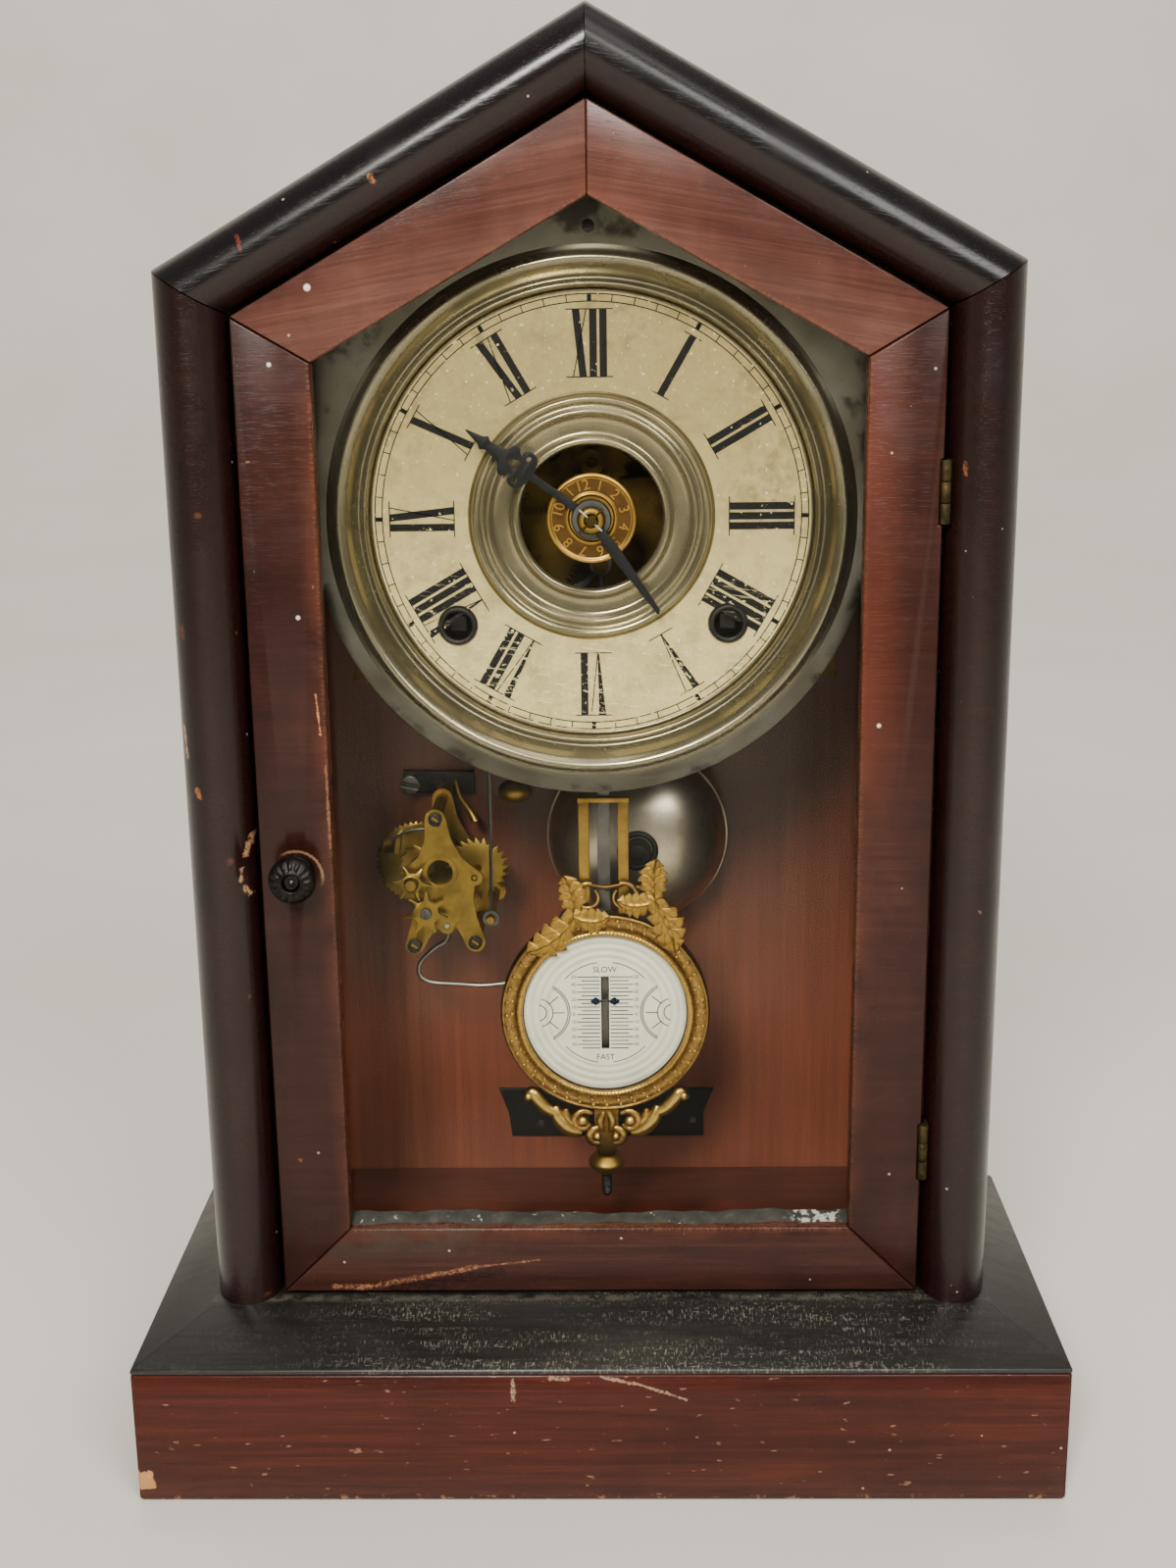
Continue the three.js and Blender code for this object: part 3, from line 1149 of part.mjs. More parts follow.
// The alarm hammer: an arbor with two pallets over its escape wheel, a bent wire and a round head.
function alarmHammer() {
  const toWheel = toward(alarmHammerAt, alarmEscapeAt);
  const span = Math.hypot(alarmEscapeAt[0] - alarmHammerAt[0], alarmEscapeAt[1] - alarmHammerAt[1]);
  const reach = span - alarmEscapeRadius - 1.8;
  const pallets = [-0.5, 0.5].map((turn) =>
    sheet(strip([0, 0], polar(reach, toWheel + turn), 0.7), alarmEscapeY, alarmEscapeY + wheelThickness, 3));
  const wireY = alarmEscapeY + alarmHammerBehind;
  const headX = alarmHammerHead.x - alarmX - alarmHammerAt[0];
  const headZ = alarmHammerHead.z - alarmHeight - alarmHammerAt[1];
  const head = new THREE.SphereGeometry(alarmHammerHead.radius, 8, 5).translate(headX, wireY, headZ);
  const bends = [[0, 0], ...alarmHammerBends, [headX - alarmHammerLift, headZ - alarmHammerLift], [headX, headZ]];
  const bent = wire(bends.map(([x, z]) => [x, wireY, z]), alarmWireRadius, 12);
  return join(arbor(alarmFrontBack, alarmRear), head, bent, ...pallets);
}
place(alarm, 'alarm_hammer', alarmHammer(), steel, ...alarmHammerAt);

// The trip wire leans on the movement and frees the alarm hammer.
const tripTop = dialHeight - tripBelowDial - alarmHeight - alarmTripAt[1];
const tripY = alarmFace - 1.6;
place(alarm, 'alarm_trip_wire', join(
  ring(alarmStudRadius + fit, tripEyeRadius, tripY - 0.7, tripY + 0.7, 16),
  wire([[0, tripY, tripEyeRadius - 0.4], [0.4, tripY, tripBend], [0.8, plateFace - 1.3, tripTop * 0.62],
    [0.6, plateFace - 1.3, tripTop]], tripWireRadius, 8)), steel, ...alarmTripAt);

export default clock;
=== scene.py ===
# %% [markdown]
# # A gabled shelf clock
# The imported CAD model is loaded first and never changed: it fixes every size and every joint.
# What follows dresses it. Some CAD pieces only get a finish, and the ones that need rounder or finer
# forms get a piece that stands for them and moves with the same body.

# %% Load the frame
import math

import bmesh
import bpy
from mathutils import Matrix, Vector


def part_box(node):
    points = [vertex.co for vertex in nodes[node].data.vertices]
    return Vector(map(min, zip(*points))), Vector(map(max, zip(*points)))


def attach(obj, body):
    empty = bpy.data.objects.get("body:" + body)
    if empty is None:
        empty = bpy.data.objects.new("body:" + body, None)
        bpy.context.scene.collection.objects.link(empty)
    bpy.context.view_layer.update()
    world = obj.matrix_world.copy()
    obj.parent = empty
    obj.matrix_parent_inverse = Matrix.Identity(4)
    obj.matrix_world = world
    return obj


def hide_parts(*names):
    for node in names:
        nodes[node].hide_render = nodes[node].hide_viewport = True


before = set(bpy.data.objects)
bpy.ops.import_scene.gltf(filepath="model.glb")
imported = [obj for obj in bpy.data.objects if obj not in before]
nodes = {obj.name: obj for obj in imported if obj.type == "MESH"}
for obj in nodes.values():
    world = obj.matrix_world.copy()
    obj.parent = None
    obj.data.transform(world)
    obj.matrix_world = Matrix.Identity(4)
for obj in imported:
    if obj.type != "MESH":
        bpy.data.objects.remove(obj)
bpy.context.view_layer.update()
MM = 0.001
TAU = 2 * math.pi

# %% [markdown]
# ## Main sizes
# Lengths are in millimetres, as in the CAD source: X runs to the right, Y to the rear and Z up. These are the
# sizes that several steps share. The eaves and the apex give the slope of the roof.

# %% Main sizes
base_half, base_reach, base_level = 135, 61, 50
side_ledge, front_ledge = 19.6, 23.5
case_half, case_front = base_half - side_ledge, -17.5
board_face, board_rear = 54, 61
apex, eave_level = 413, 348
slope = math.atan2(apex - eave_level, case_half)
rake_degrees, rake_line = math.degrees(slope), apex * math.cos(slope)
door_outer, door_width, door_front = 21, 20.5, -32
opening_half, opening_foot = case_half - door_outer - door_width, 71.9
opening_line = rake_line - door_outer - door_width
both = (-1, 1)
print("case of", round(2 * case_half, 1), "by", apex, "mm")

# %% [markdown]
# ## The camera
# The clock is seen from a little above the middle of its dial, looking slightly down. Distance, tilt and
# lens were solved from the corners of the case, so straight edges fall where they do in the picture.

# %% Camera
picture_height, focal_pixels, sensor = 1599, 1923, 36
yaw, pitch, roll = (math.radians(angle) for angle in (1.11, 14.56, -0.73))
stand = Vector((8.3, -540.7, 340.4))
right = Vector((math.cos(yaw), math.sin(yaw), 0))
ahead = Vector((-math.sin(yaw) * math.cos(pitch), math.cos(yaw) * math.cos(pitch), -math.sin(pitch)))
above = right.cross(ahead)
tilted_right = right * math.cos(roll) + above * math.sin(roll)
tilted_above = above * math.cos(roll) - right * math.sin(roll)
lens = bpy.data.cameras.new("camera")
lens.sensor_fit, lens.sensor_height = "VERTICAL", sensor
lens.lens = sensor * focal_pixels / picture_height
lens.clip_start = 0.01
camera = bpy.data.objects.new("camera", lens)
bpy.context.scene.collection.objects.link(camera)
camera.matrix_world = Matrix((tilted_right, tilted_above, -ahead)).transposed().to_4x4()
camera.matrix_world.translation = stand * MM
bpy.context.scene.camera = camera
print("lens of", round(lens.lens, 1), "mm")

# %% [markdown]
# ## Writing nodes as sums
# Shader and geometry trees are easier to read as expressions. A `Socket` wraps one output: adding or
# multiplying it makes a Math node. Every other node comes from `Graph.node`, which takes the node's type,
# its settings and the values or links of its inputs.

# %% Node expressions
class Socket:
    """One output of a node; arithmetic on it adds Math nodes."""

    def __init__(self, graph, socket):
        self.graph, self.socket = graph, socket

    def maths(self, operation, *values):
        """A Math node on this output and the given values."""
        return self.graph.node("ShaderNodeMath", {"operation": operation}, dict(enumerate((self, *values))))

    def __add__(self, other): return self.maths("ADD", other)
    def __radd__(self, other): return self.maths("ADD", other)
    def __sub__(self, other): return self.maths("SUBTRACT", other)
    def __rsub__(self, other): return (self * -1) + other
    def __mul__(self, other): return self.maths("MULTIPLY", other)
    def __rmul__(self, other): return self.maths("MULTIPLY", other)

    def steps(self, low, high):
        """0 below low, 1 above high, and smooth between; low may be above high."""
        return self.graph.node("ShaderNodeMapRange", {"interpolation_type": "SMOOTHSTEP"},
                               {"Value": self, "From Min": low, "From Max": high})


class Graph:
    """A node tree that hands out sockets."""

    def __init__(self, tree):
        self.tree = tree

    def node(self, kind, settings={}, values={}, out=0):
        """A node with its settings and the values or links of its inputs, given back as one output."""
        made = self.tree.nodes.new(kind)
        for key, value in settings.items():
            if key == "stops":
                ramp = made.color_ramp.elements
                while len(ramp) < len(value):
                    ramp.new(1)
                for stop, (place, colour) in zip(ramp, value):
                    stop.position, stop.color = place, (*colour, 1)
            else:
                setattr(made, key, value)
        for key, value in values.items():
            if isinstance(value, Socket):
                self.tree.links.new(value.socket, made.inputs[key])
            else:
                made.inputs[key].default_value = value
        return None if out is None else Socket(self, made.outputs[out])


def linear(code):
    """A screen colour such as 8a5a2c as linear light."""
    parts = [int(code[i:i + 2], 16) / 255 for i in (0, 2, 4)]
    return tuple(c / 12.92 if c <= 0.04045 else ((c + 0.055) / 1.055) ** 2.4 for c in parts)


print("sockets ready")

# %% Finishes from expressions
class Finish(Graph):
    """A procedural material on Object coordinates, measured in millimetres."""

    def __init__(self, name):
        self.material = bpy.data.materials.new(name)
        self.material.use_nodes = True
        super().__init__(self.material.node_tree)
        self.tree.nodes.clear()
        metres = self.node("ShaderNodeTexCoord", out="Object")
        self.place = self.node("ShaderNodeVectorMath", {"operation": "SCALE"}, {0: metres, "Scale": 1 / MM})
        self.x, self.y, self.z = (self.node("ShaderNodeSeparateXYZ", {}, {0: self.place}, axis)
                                  for axis in range(3))

    def turned(self, degrees, stretch):
        """Coordinates turned about Y so that X runs along the grain, then stretched."""
        turn = (0, math.radians(degrees), 0)
        spun = self.node("ShaderNodeMapping", {}, {0: self.place, "Rotation": turn})
        return self.node("ShaderNodeMapping", {}, {0: spun, "Scale": stretch})

    def noise(self, scale, detail=3, roughness=0.55, distortion=0, vector=None):
        """Cloudy noise; the scale is in features to the millimetre."""
        values = {"Vector": vector or self.place, "Scale": scale, "Detail": detail,
                  "Roughness": roughness, "Distortion": distortion}
        return self.node("ShaderNodeTexNoise", {}, values)

    def grain(self, degrees, along, across, detail, roughness=0.6, distortion=0):
        """Noise drawn out along the grain of wood."""
        return self.noise(1, detail, roughness, distortion, self.turned(degrees, (along, across, across)))

    def cells(self, scale):
        """Distance from the nearest of many scattered points."""
        return self.node("ShaderNodeTexVoronoi", {}, {"Vector": self.place, "Scale": scale})

    def from_axis(self, x, z):
        """Distance from a line along Y through (x, z)."""
        off_x, off_z = self.x - x, self.z - z
        return (off_x * off_x + off_z * off_z).maths("SQRT")

    def near(self, point, reach):
        """1 at a point of the object, falling to 0 at the given reach."""
        away = self.node("ShaderNodeVectorMath", {"operation": "DISTANCE"}, {0: self.place, 1: point},
                         "Value")
        return away.steps(reach, reach * 0.4)

    def stroke(self, start, end, width):
        """1 on a ragged scratch between two (x, z) points of the front plane, 0 beyond its width."""
        run = (end[0] - start[0], end[1] - start[1])
        from_x, from_z = self.x - start[0], self.z - start[1]
        share = (from_x * run[0] + from_z * run[1]) * (1 / (run[0] ** 2 + run[1] ** 2))
        share = share.maths("MAXIMUM", 0).maths("MINIMUM", 1)
        off_x, off_z = from_x - share * run[0], from_z - share * run[1]
        ragged = (self.noise(2.4, 4, 0.7) - 0.5) * 3 + (self.noise(0.45, 2) - 0.5) * 2.4
        away = (off_x * off_x + off_z * off_z).maths("SQRT") + ragged * width
        return away.steps(width, width * 0.5) * (self.noise(1.1, 3).steps(0.36, 0.56) * 0.75 + 0.25)

    def strokes(self, *lines):
        """1 on any of several scratches, each a start, an end and a width."""
        any_of, *others = (self.stroke(*line) for line in lines)
        for other in others:
            any_of = any_of.maths("MAXIMUM", other)
        return any_of

    def ramp(self, factor, *stops):
        """Colour codes at values of a factor, with smooth change between them."""
        return self.node("ShaderNodeValToRGB", {"stops": [(p, linear(c)) for p, c in stops]}, {0: factor})

    def blend(self, factor, first, second):
        """First where the factor is 0 and second where it is 1; colours are codes or sockets."""
        paint = [c if isinstance(c, Socket) else (*linear(c), 1) for c in (first, second)]
        # Of a Mix node's sockets, inputs 6 and 7 and output 2 are the ones for colours.
        return self.node("ShaderNodeMix", {"data_type": "RGBA"}, {0: factor, 6: paint[0], 7: paint[1]}, 2)

    def layers(self, colour, *coats):
        """A colour under coats of a mask and a paint, the last coat on top."""
        for mask, paint in coats:
            colour = self.blend(mask, colour, paint)
        return colour

    def bump(self, height, strength=0.3, distance=0.1):
        """A bumped normal; the distance is in millimetres."""
        values = {"Strength": strength, "Distance": distance * MM, "Height": height}
        return self.node("ShaderNodeBump", {}, values)

    def surface(self, **values):
        """A Principled surface; keywords are its inputs with _ for a space."""
        inputs = {key.replace("_", " "): value for key, value in values.items()}
        return self.shown(self.node("ShaderNodeBsdfPrincipled", {}, inputs))

    def shown(self, shader):
        """The material with a shader on its surface."""
        self.node("ShaderNodeOutputMaterial", {}, {"Surface": shader}, out=None)
        return self.material


print("finishes ready")

# %% [markdown]
# ## Shaping tools
# A lathe turns a profile, a plate cuts a sheet to an outline, a tube follows a line, and `softened` copies a
# CAD piece and takes the sharpness off its edges, as sanding and polish do. Each gives a plain mesh whose
# place is already in its corners.

# %% Solids
def plain(holder):
    """The evaluated shape of an object as a mesh; the object itself goes."""
    if holder.name not in bpy.context.scene.collection.objects:
        bpy.context.scene.collection.objects.link(holder)
    bpy.context.view_layer.update()
    mesh = bpy.data.meshes.new_from_object(holder.evaluated_get(bpy.context.evaluated_depsgraph_get()))
    bpy.data.objects.remove(holder)
    return mesh


def smoothed(mesh, angle=30, recalculate=True):
    """Corners merged, faces outward, and smooth shading up to the given angle."""
    shell = bmesh.new()
    shell.from_mesh(mesh)
    bmesh.ops.remove_doubles(shell, verts=shell.verts, dist=1e-6)
    if recalculate:
        bmesh.ops.recalc_face_normals(shell, faces=shell.faces)
    shell.to_mesh(mesh)
    shell.free()
    mesh.shade_smooth()
    mesh.set_sharp_from_angle(angle=math.radians(angle))
    return mesh


def mesh_from(points, faces, angle=30):
    """A mesh from corners in millimetres."""
    mesh = bpy.data.meshes.new("shape")
    mesh.from_pydata([Vector(point) * MM for point in points], [], faces)
    return smoothed(mesh, angle)


def prism(first, second, angle=30):
    """A closed solid between two loops with as many corners each."""
    count = len(first)
    faces = [list(range(count)), list(range(count, 2 * count))[::-1]]
    faces += [[i, (i + 1) % count, count + (i + 1) % count, count + i] for i in range(count)]
    return mesh_from([*first, *second], faces, angle)


def lathe(profile, centre=(0, 0), sides=96, upright=False, angle=30, wave=None):
    """A profile of (radius, y) turned about a line along Y through (x, z), or about Z through (x, y).

    The wave, where there is one, is added to y and follows the radius, y and the angle of turn.
    """
    points, rows = [], []
    for radius, along in profile:
        count = sides if radius > 1e-6 else 1
        rows.append(range(len(points), len(points) + count))
        for i in range(count):
            turn = TAU * i / sides
            x, z = radius * math.cos(turn) + centre[0], radius * math.sin(turn) + centre[1]
            y = along + wave(radius, along, turn) if wave else along
            points.append((x, z, y) if upright else (x, y, z))
    faces = []
    for low, high in zip(rows, rows[1:]):
        for i in range(sides):
            j = i + 1
            ring = [low[i % len(low)], low[j % len(low)], high[j % len(high)], high[i % len(high)]]
            faces.append(list(dict.fromkeys(ring)))
    return mesh_from(points, faces, angle)


print("solids ready")

# %% Lines and outlines
def raised(level, *pairs):
    """Pairs of a radius and a height, with the height measured from a level."""
    return [(radius, level + height) for radius, height in pairs]


def ball_line(radius, length, middle, steps):
    """The profile of a ball, or of an egg where its half length isn't its radius, for the lathe."""
    turns = [math.pi * i / steps for i in range(steps + 1)]
    return [(radius * math.sin(turn), middle - length * math.cos(turn)) for turn in turns]


def oblong(left, right, low, high):
    """The corners of an upright rectangle."""
    return [(left, low), (right, low), (right, high), (left, high)]


def mirrored(points):
    """A line of (x, z) and its mirror image in x, which close an outline."""
    return points + [(-x, z) for x, z in points[::-1]]


def flowing(points, steps=6, closed=False):
    """A smooth line through points of any dimension."""
    line = [Vector(point) for point in points]
    count = len(line)
    spans = count if closed else count - 1
    pick = (lambda i: line[i % count]) if closed else (lambda i: line[max(0, min(count - 1, i))])
    made = []
    for i in range(spans):
        a, b, c, d = (pick(i + k) for k in (-1, 0, 1, 2))
        for k in range(steps):
            t = k / steps
            made.append(0.5 * (2 * b + (c - a) * t + (2 * a - 5 * b + 4 * c - d) * t**2
                               + (3 * b - a - 3 * c + d) * t**3))
    return [tuple(point) for point in (made if closed else made + [line[-1]])]


def arc(radius, start=0, end=360, centre=(0, 0), steps=48):
    """Points of a circle, or of a part of one, in degrees."""
    whole = abs(end - start) >= 360
    angles = [math.radians(start + (end - start) * i / (steps if whole else steps - 1)) for i in range(steps)]
    return [(centre[0] + radius * math.cos(a), centre[1] + radius * math.sin(a)) for a in angles]


print("lines ready")

# %% Sheets, wires and letters
def plate(loops, front, back, edge=0.0, angle=30):
    """A sheet cut to loops of (x, z), where inner loops are holes, between two planes of y."""
    curve = bpy.data.curves.new("sheet", "CURVE")
    curve.dimensions, curve.fill_mode = "2D", "BOTH"
    curve.extrude = ((back - front) / 2 - edge) * MM
    curve.bevel_depth, curve.offset, curve.bevel_resolution = edge * MM, -edge * MM, 1
    for loop in loops:
        spline = curve.splines.new("POLY")
        spline.points.add(len(loop) - 1)
        spline.use_cyclic_u = True
        for corner, (x, z) in zip(spline.points, loop):
            corner.co = (x * MM, z * MM, 0, 1)
    mesh = plain(bpy.data.objects.new("sheet", curve))
    mesh.transform(Matrix.Translation((0, (front + back) / 2 * MM, 0)) @ Matrix.Rotation(math.pi / 2, 4, "X"))
    return smoothed(mesh, angle)


def tube(line, radius, sides=6, taper=None):
    """A round wire along points in millimetres; the taper scales its radius at each point."""
    curve = bpy.data.curves.new("wire", "CURVE")
    curve.dimensions, curve.use_fill_caps = "3D", True
    curve.bevel_depth, curve.bevel_resolution = radius * MM, sides // 2
    spline = curve.splines.new("POLY")
    spline.points.add(len(line) - 1)
    for i, (corner, point) in enumerate(zip(spline.points, line)):
        corner.co = (*(Vector(point) * MM), 1)
        corner.radius = taper(i / (len(line) - 1)) if taper else 1
    return smoothed(plain(bpy.data.objects.new("wire", curve)), 40)


def lettering(text, size, depth):
    """Raised type in the XZ plane about the origin, facing -Y."""
    curve = bpy.data.curves.new(text, "FONT")
    curve.body, curve.size, curve.extrude = text, size * MM, depth / 2 * MM
    curve.align_x, curve.align_y = "CENTER", "CENTER"
    mesh = plain(bpy.data.objects.new(text, curve))
    mesh.transform(Matrix.Rotation(math.pi / 2, 4, "X"))
    return mesh


print("sheets, wires and letters ready")

# %% Pieces
def moved(mesh, x=0, y=0, z=0, turn=0, about="Y"):
    """The mesh turned by degrees about an axis through the origin and then shifted by millimetres."""
    mesh.transform(Matrix.Translation(Vector((x, y, z)) * MM) @ Matrix.Rotation(math.radians(turn), 4, about))
    return mesh


def joined(*meshes):
    """One mesh from several."""
    shell = bmesh.new()
    for mesh in meshes:
        shell.from_mesh(mesh)
    whole = bpy.data.meshes.new("whole")
    shell.to_mesh(whole)
    shell.free()
    return whole


def softened(node, width=0.4, segments=2):
    """A copy of a CAD piece with its edges rounded."""
    mesh = nodes[node].data.copy()
    mesh.materials.clear()
    shell = bmesh.new()
    shell.from_mesh(mesh)
    bmesh.ops.remove_doubles(shell, verts=shell.verts, dist=1e-6)
    bmesh.ops.dissolve_limit(shell, angle_limit=math.radians(0.5), verts=shell.verts, edges=shell.edges)
    shell.to_mesh(mesh)
    shell.free()
    holder = bpy.data.objects.new(node, mesh)
    bevel = holder.modifiers.new("edges", "BEVEL")
    bevel.width, bevel.segments, bevel.limit_method = width * MM, segments, "ANGLE"
    bevel.angle_limit = math.radians(40)
    return smoothed(plain(holder), 35, recalculate=False)


def add(name, mesh, finish, body, stands_for=()):
    """A finished piece that rides on a body, and stands for CAD nodes where it replaces them."""
    mesh.name = name
    mesh.materials.clear()
    mesh.materials.append(finish)
    piece = bpy.data.objects.new(name, mesh)
    bpy.context.scene.collection.objects.link(piece)
    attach(piece, body)
    if stands_for:
        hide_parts(*stands_for)
    return piece


def dress(finish, *names):
    """Give CAD pieces that keep their own shape a finish."""
    for name in names:
        nodes[name].data.materials.clear()
        nodes[name].data.materials.append(finish)


print("pieces ready")

# %% [markdown]
# ## Geometry Nodes recipes
# What repeats round a circle, such as minute marks or beads, is made by one recipe: a ring of points, a small
# mesh on each, turned to face outward. Realize Instances makes it real geometry.

# %% Recipes
class Recipe(Graph):
    """A Geometry Nodes tree with named inputs, run once on a mesh."""

    def __init__(self, name, **inputs):
        super().__init__(bpy.data.node_groups.new(name, "GeometryNodeTree"))
        sockets = self.tree.interface
        sockets.new_socket("Geometry", in_out="INPUT", socket_type="NodeSocketGeometry")
        sockets.new_socket("Geometry", in_out="OUTPUT", socket_type="NodeSocketGeometry")
        self.identifiers = {}
        for label, kind in inputs.items():
            made = sockets.new_socket(label, in_out="INPUT", socket_type="NodeSocket" + kind)
            self.identifiers[label] = made.identifier
        self.start = self.tree.nodes.new("NodeGroupInput")

    def given(self, label):
        """One of the named inputs."""
        return Socket(self, self.start.outputs[label])

    def ends(self, geometry):
        """Makes copies real, paints them and hands them out."""
        real = self.node("GeometryNodeRealizeInstances", {}, {0: geometry})
        painted = self.node("GeometryNodeSetMaterial", {}, {0: real, "Material": self.given("Finish")})
        self.node("NodeGroupOutput", {}, {0: painted}, out=None)

    def make(self, mesh, **values):
        """The result on a mesh, with values for the named inputs."""
        holder = bpy.data.objects.new(self.tree.name, mesh)
        modifier = holder.modifiers.new("recipe", "NODES")
        modifier.node_group = self.tree
        for label, value in values.items():
            modifier[self.identifiers[label]] = value
        return plain(holder)


# The mesh given to the recipe is one mark, drawn at the origin with its outer end towards +X.
round_about = Recipe("round_about", Count="Int", Radius="Float", Finish="Material")
circle = round_about.node("GeometryNodeMeshCircle", {}, {"Vertices": round_about.given("Count"),
                                                         "Radius": round_about.given("Radius")})
spread = round_about.node("GeometryNodeInputPosition")
facing = round_about.node("FunctionNodeAlignRotationToVector", {"axis": "X"}, {"Vector": spread})
marks = round_about.node("GeometryNodeInstanceOnPoints", {}, {
    "Points": circle, "Instance": round_about.given("Geometry"), "Rotation": facing})
round_about.ends(marks)


def ring_of(mark, count, radius, finish, x, y, z):
    """Copies of a mark round a circle that faces -Y, centred on (x, y, z)."""
    mesh = round_about.make(mark, Count=count, Radius=radius * MM, Finish=finish)
    return moved(mesh, x, y, z, 90, "X")


def sheet_mark(corners, thickness=0.06):
    """A thin closed mark from a convex outline in the XY plane, for the recipe."""
    return prism(*([(x, y, side * thickness / 2) for x, y in corners] for side in both))


print("recipes ready")

# %% [markdown]
# ## Mahogany
# The case is veneered in mahogany under an old, dark polish. A picture of wood could be laid on it, but noise
# measured in the clock's own millimetres runs through every board without seams. Along the grain the colour
# changes slowly, across it quickly, so the noise is stretched. Short dark pores, cloudy patches where the
# polish has darkened, and a few pale nicks are laid over it. On the door's stiles and rakes the veneer runs
# across, so slow shading takes the place of the figure, and wear follows the edge next to the glass.

# %% Wood finishes
def mahogany(name, degrees, tones, clouding=0.55, roughness=0.25, gloss=0.22, banded=0, own=None):
    """Polished veneer whose grain runs at an angle in the front plane; own() adds the marks of one piece.

    Banded is the share of the broad figure that gives way to slow shading, as on veneer laid across a rail.
    """
    wood, dark = Finish(name), "1e0b08"
    figure = wood.grain(degrees, 0.014, 0.45, 4, distortion=0.5)
    if banded:
        shading = wood.grain(degrees, 0.07, 0.03, 3, distortion=0.4)
        figure = figure * (1 - banded) + shading * banded
    streaks = wood.grain(degrees, 0.035, 2.2, 2, distortion=0.2)
    pores = wood.grain(degrees, 0.16, 4.5, 2).steps(0.56, 0.72)
    clouds = wood.noise(0.016, 4, 0.6).steps(0.46, 0.7)
    nicks = wood.noise(0.21, 2, 0.7).steps(0.755, 0.79)
    specks = wood.cells(0.09).steps(0.042, 0.03)
    colour = wood.ramp(figure * 0.7 + streaks * 0.3, *zip((0.25, 0.5, 0.75), tones))
    colour = wood.layers(colour, (pores * 0.45, dark), (clouds * clouding, dark), (nicks * 0.55, "a0663f"))
    if own:
        colour = own(wood, colour)
    colour = wood.blend(specks * 0.65, colour, "b9ad9e")
    shine = roughness + wood.noise(0.05, 3).steps(0.4, 0.8) * 0.12 + pores * 0.1
    relief = streaks * 0.5 - pores * 0.6 - nicks * 1.5
    return wood.surface(Base_Color=colour, Roughness=shine, Normal=wood.bump(relief, 0.25, 0.1),
                        Coat_Weight=gloss * 0.3, Coat_Roughness=0.15, Specular_IOR_Level=gloss)


def plinth_marks(wood, colour):
    """The broken corner, the scratches below the top edge and the nicked lower edge of the plinth."""
    front = (wood.y + (wood.noise(0.5, 4) - 0.5) * 6).steps(-55.5, -57)
    corner = wood.x.steps(-127, -132) * wood.z.steps(13, 8) * wood.z.steps(2.5, 4.5)
    corner = (corner + wood.noise(0.5, 3) * 0.8).steps(1.05, 1.15) * front
    nicked = wood.z.steps(2.4, 0.4) * wood.noise(0.35, 3).steps(0.58, 0.66)
    dents = wood.grain(0, 0.22, 0.7, 2, 0.5).steps(0.7, 0.745)
    scratch = wood.strokes(((-24.7, 39.6), (-24.8, 33), 0.7), ((0.6, 40.3), (11, 38), 0.55),
                           ((11, 38), (25, 33), 0.45), ((-14, 39.8), (-9, 39.6), 0.7))
    return wood.layers(colour, (corner, "c08a55"), (nicked * 0.7, "a5764e"), (dents * 0.45, "a98265"),
                       (scratch * front * 0.6, "b7977a"))


side_wood = mahogany("side_wood", 90, ("240f0b", "3b1811", "4d241a"), clouding=0.5, gloss=0.18)
roof_tones = ("1f0d0a", "301410", "3f1b13")
roof_wood_left = mahogany("roof_wood_left", rake_degrees, roof_tones, clouding=0.7)
roof_wood_right = mahogany("roof_wood_right", -rake_degrees, roof_tones, clouding=0.7)
plinth_wood = mahogany("plinth_wood", 0, ("270e09", "421a11", "582618"), clouding=0.4, own=plinth_marks)
print("mahogany finishes made")

# %% Door wear
def upright_edge(wood):
    """Distance into a stile from the edge next to the glass."""
    return wood.x.maths("ABSOLUTE") - opening_half


def rake_edge(wood):
    """The same on a raking rail."""
    return wood.z * math.cos(slope) + wood.x.maths("ABSOLUTE") * math.sin(slope) - opening_line


def rail_edge(wood):
    """The same on the bottom rail."""
    return opening_foot - wood.z


def door_marks(edge, across, marks=None):
    """Wear and a painted highlight along the edge next to the glass, dirt along the other, and the piece's
    own marks.
    """
    def own(wood, colour):
        inward = edge(wood)
        ticks = wood.grain(across, 0.2, 1.5, 2, 0.5).steps(0.45, 0.6)
        rubbed = inward.steps(6, 0) * wood.noise(0.07, 3).steps(0.3, 0.65)
        dirt = inward.steps(13, 21) * wood.noise(0.06, 4).steps(0.3, 0.7)
        # The pale ticks within 1.6 mm of the glass are partly wear and partly a painted highlight on that
        # edge.
        colour = wood.layers(colour, (rubbed * 0.28, "74402c"),
                             (inward.steps(1.6, 0.4) * ticks * 0.22, "8f6148"), (dirt * 0.5, "190b09"))
        return marks(wood, colour, wood.y.steps(door_front + 1.5, door_front + 0.5)) if marks else colour
    return own


print("wear of the door made")

# %% Door veneers
def left_stile_marks(wood, colour, face):
    """A darker foot, long scratches, white specks and the ring that the knob has rubbed."""
    out = wood.from_axis(-84.4, 181.8) + (wood.noise(1.6, 4, 0.7) - 0.5) * 1.2
    ring = out.steps(6.9, 7.2) * out.steps(8.0, 7.6) * (wood.x * 0.8 + wood.z).steps(116, 121)
    return wood.layers(colour, (wood.z.steps(240, 120) * 0.35, "1a0c09"), (ring * face * 0.55, "9c7c58"),
                       (wood.stroke((-76.4, 234.4), (-75.6, 223), 0.35) * face, "b0764a"),
                       (wood.stroke((-74.6, 214), (-74.4, 190), 0.35) * face * 0.6, "9a6a48"),
                       (wood.near((-84.5, door_front, 323.4), 0.8), "ded6c8"),
                       (wood.near((-80.2, door_front, 255.8), 0.8), "ded6c8"))


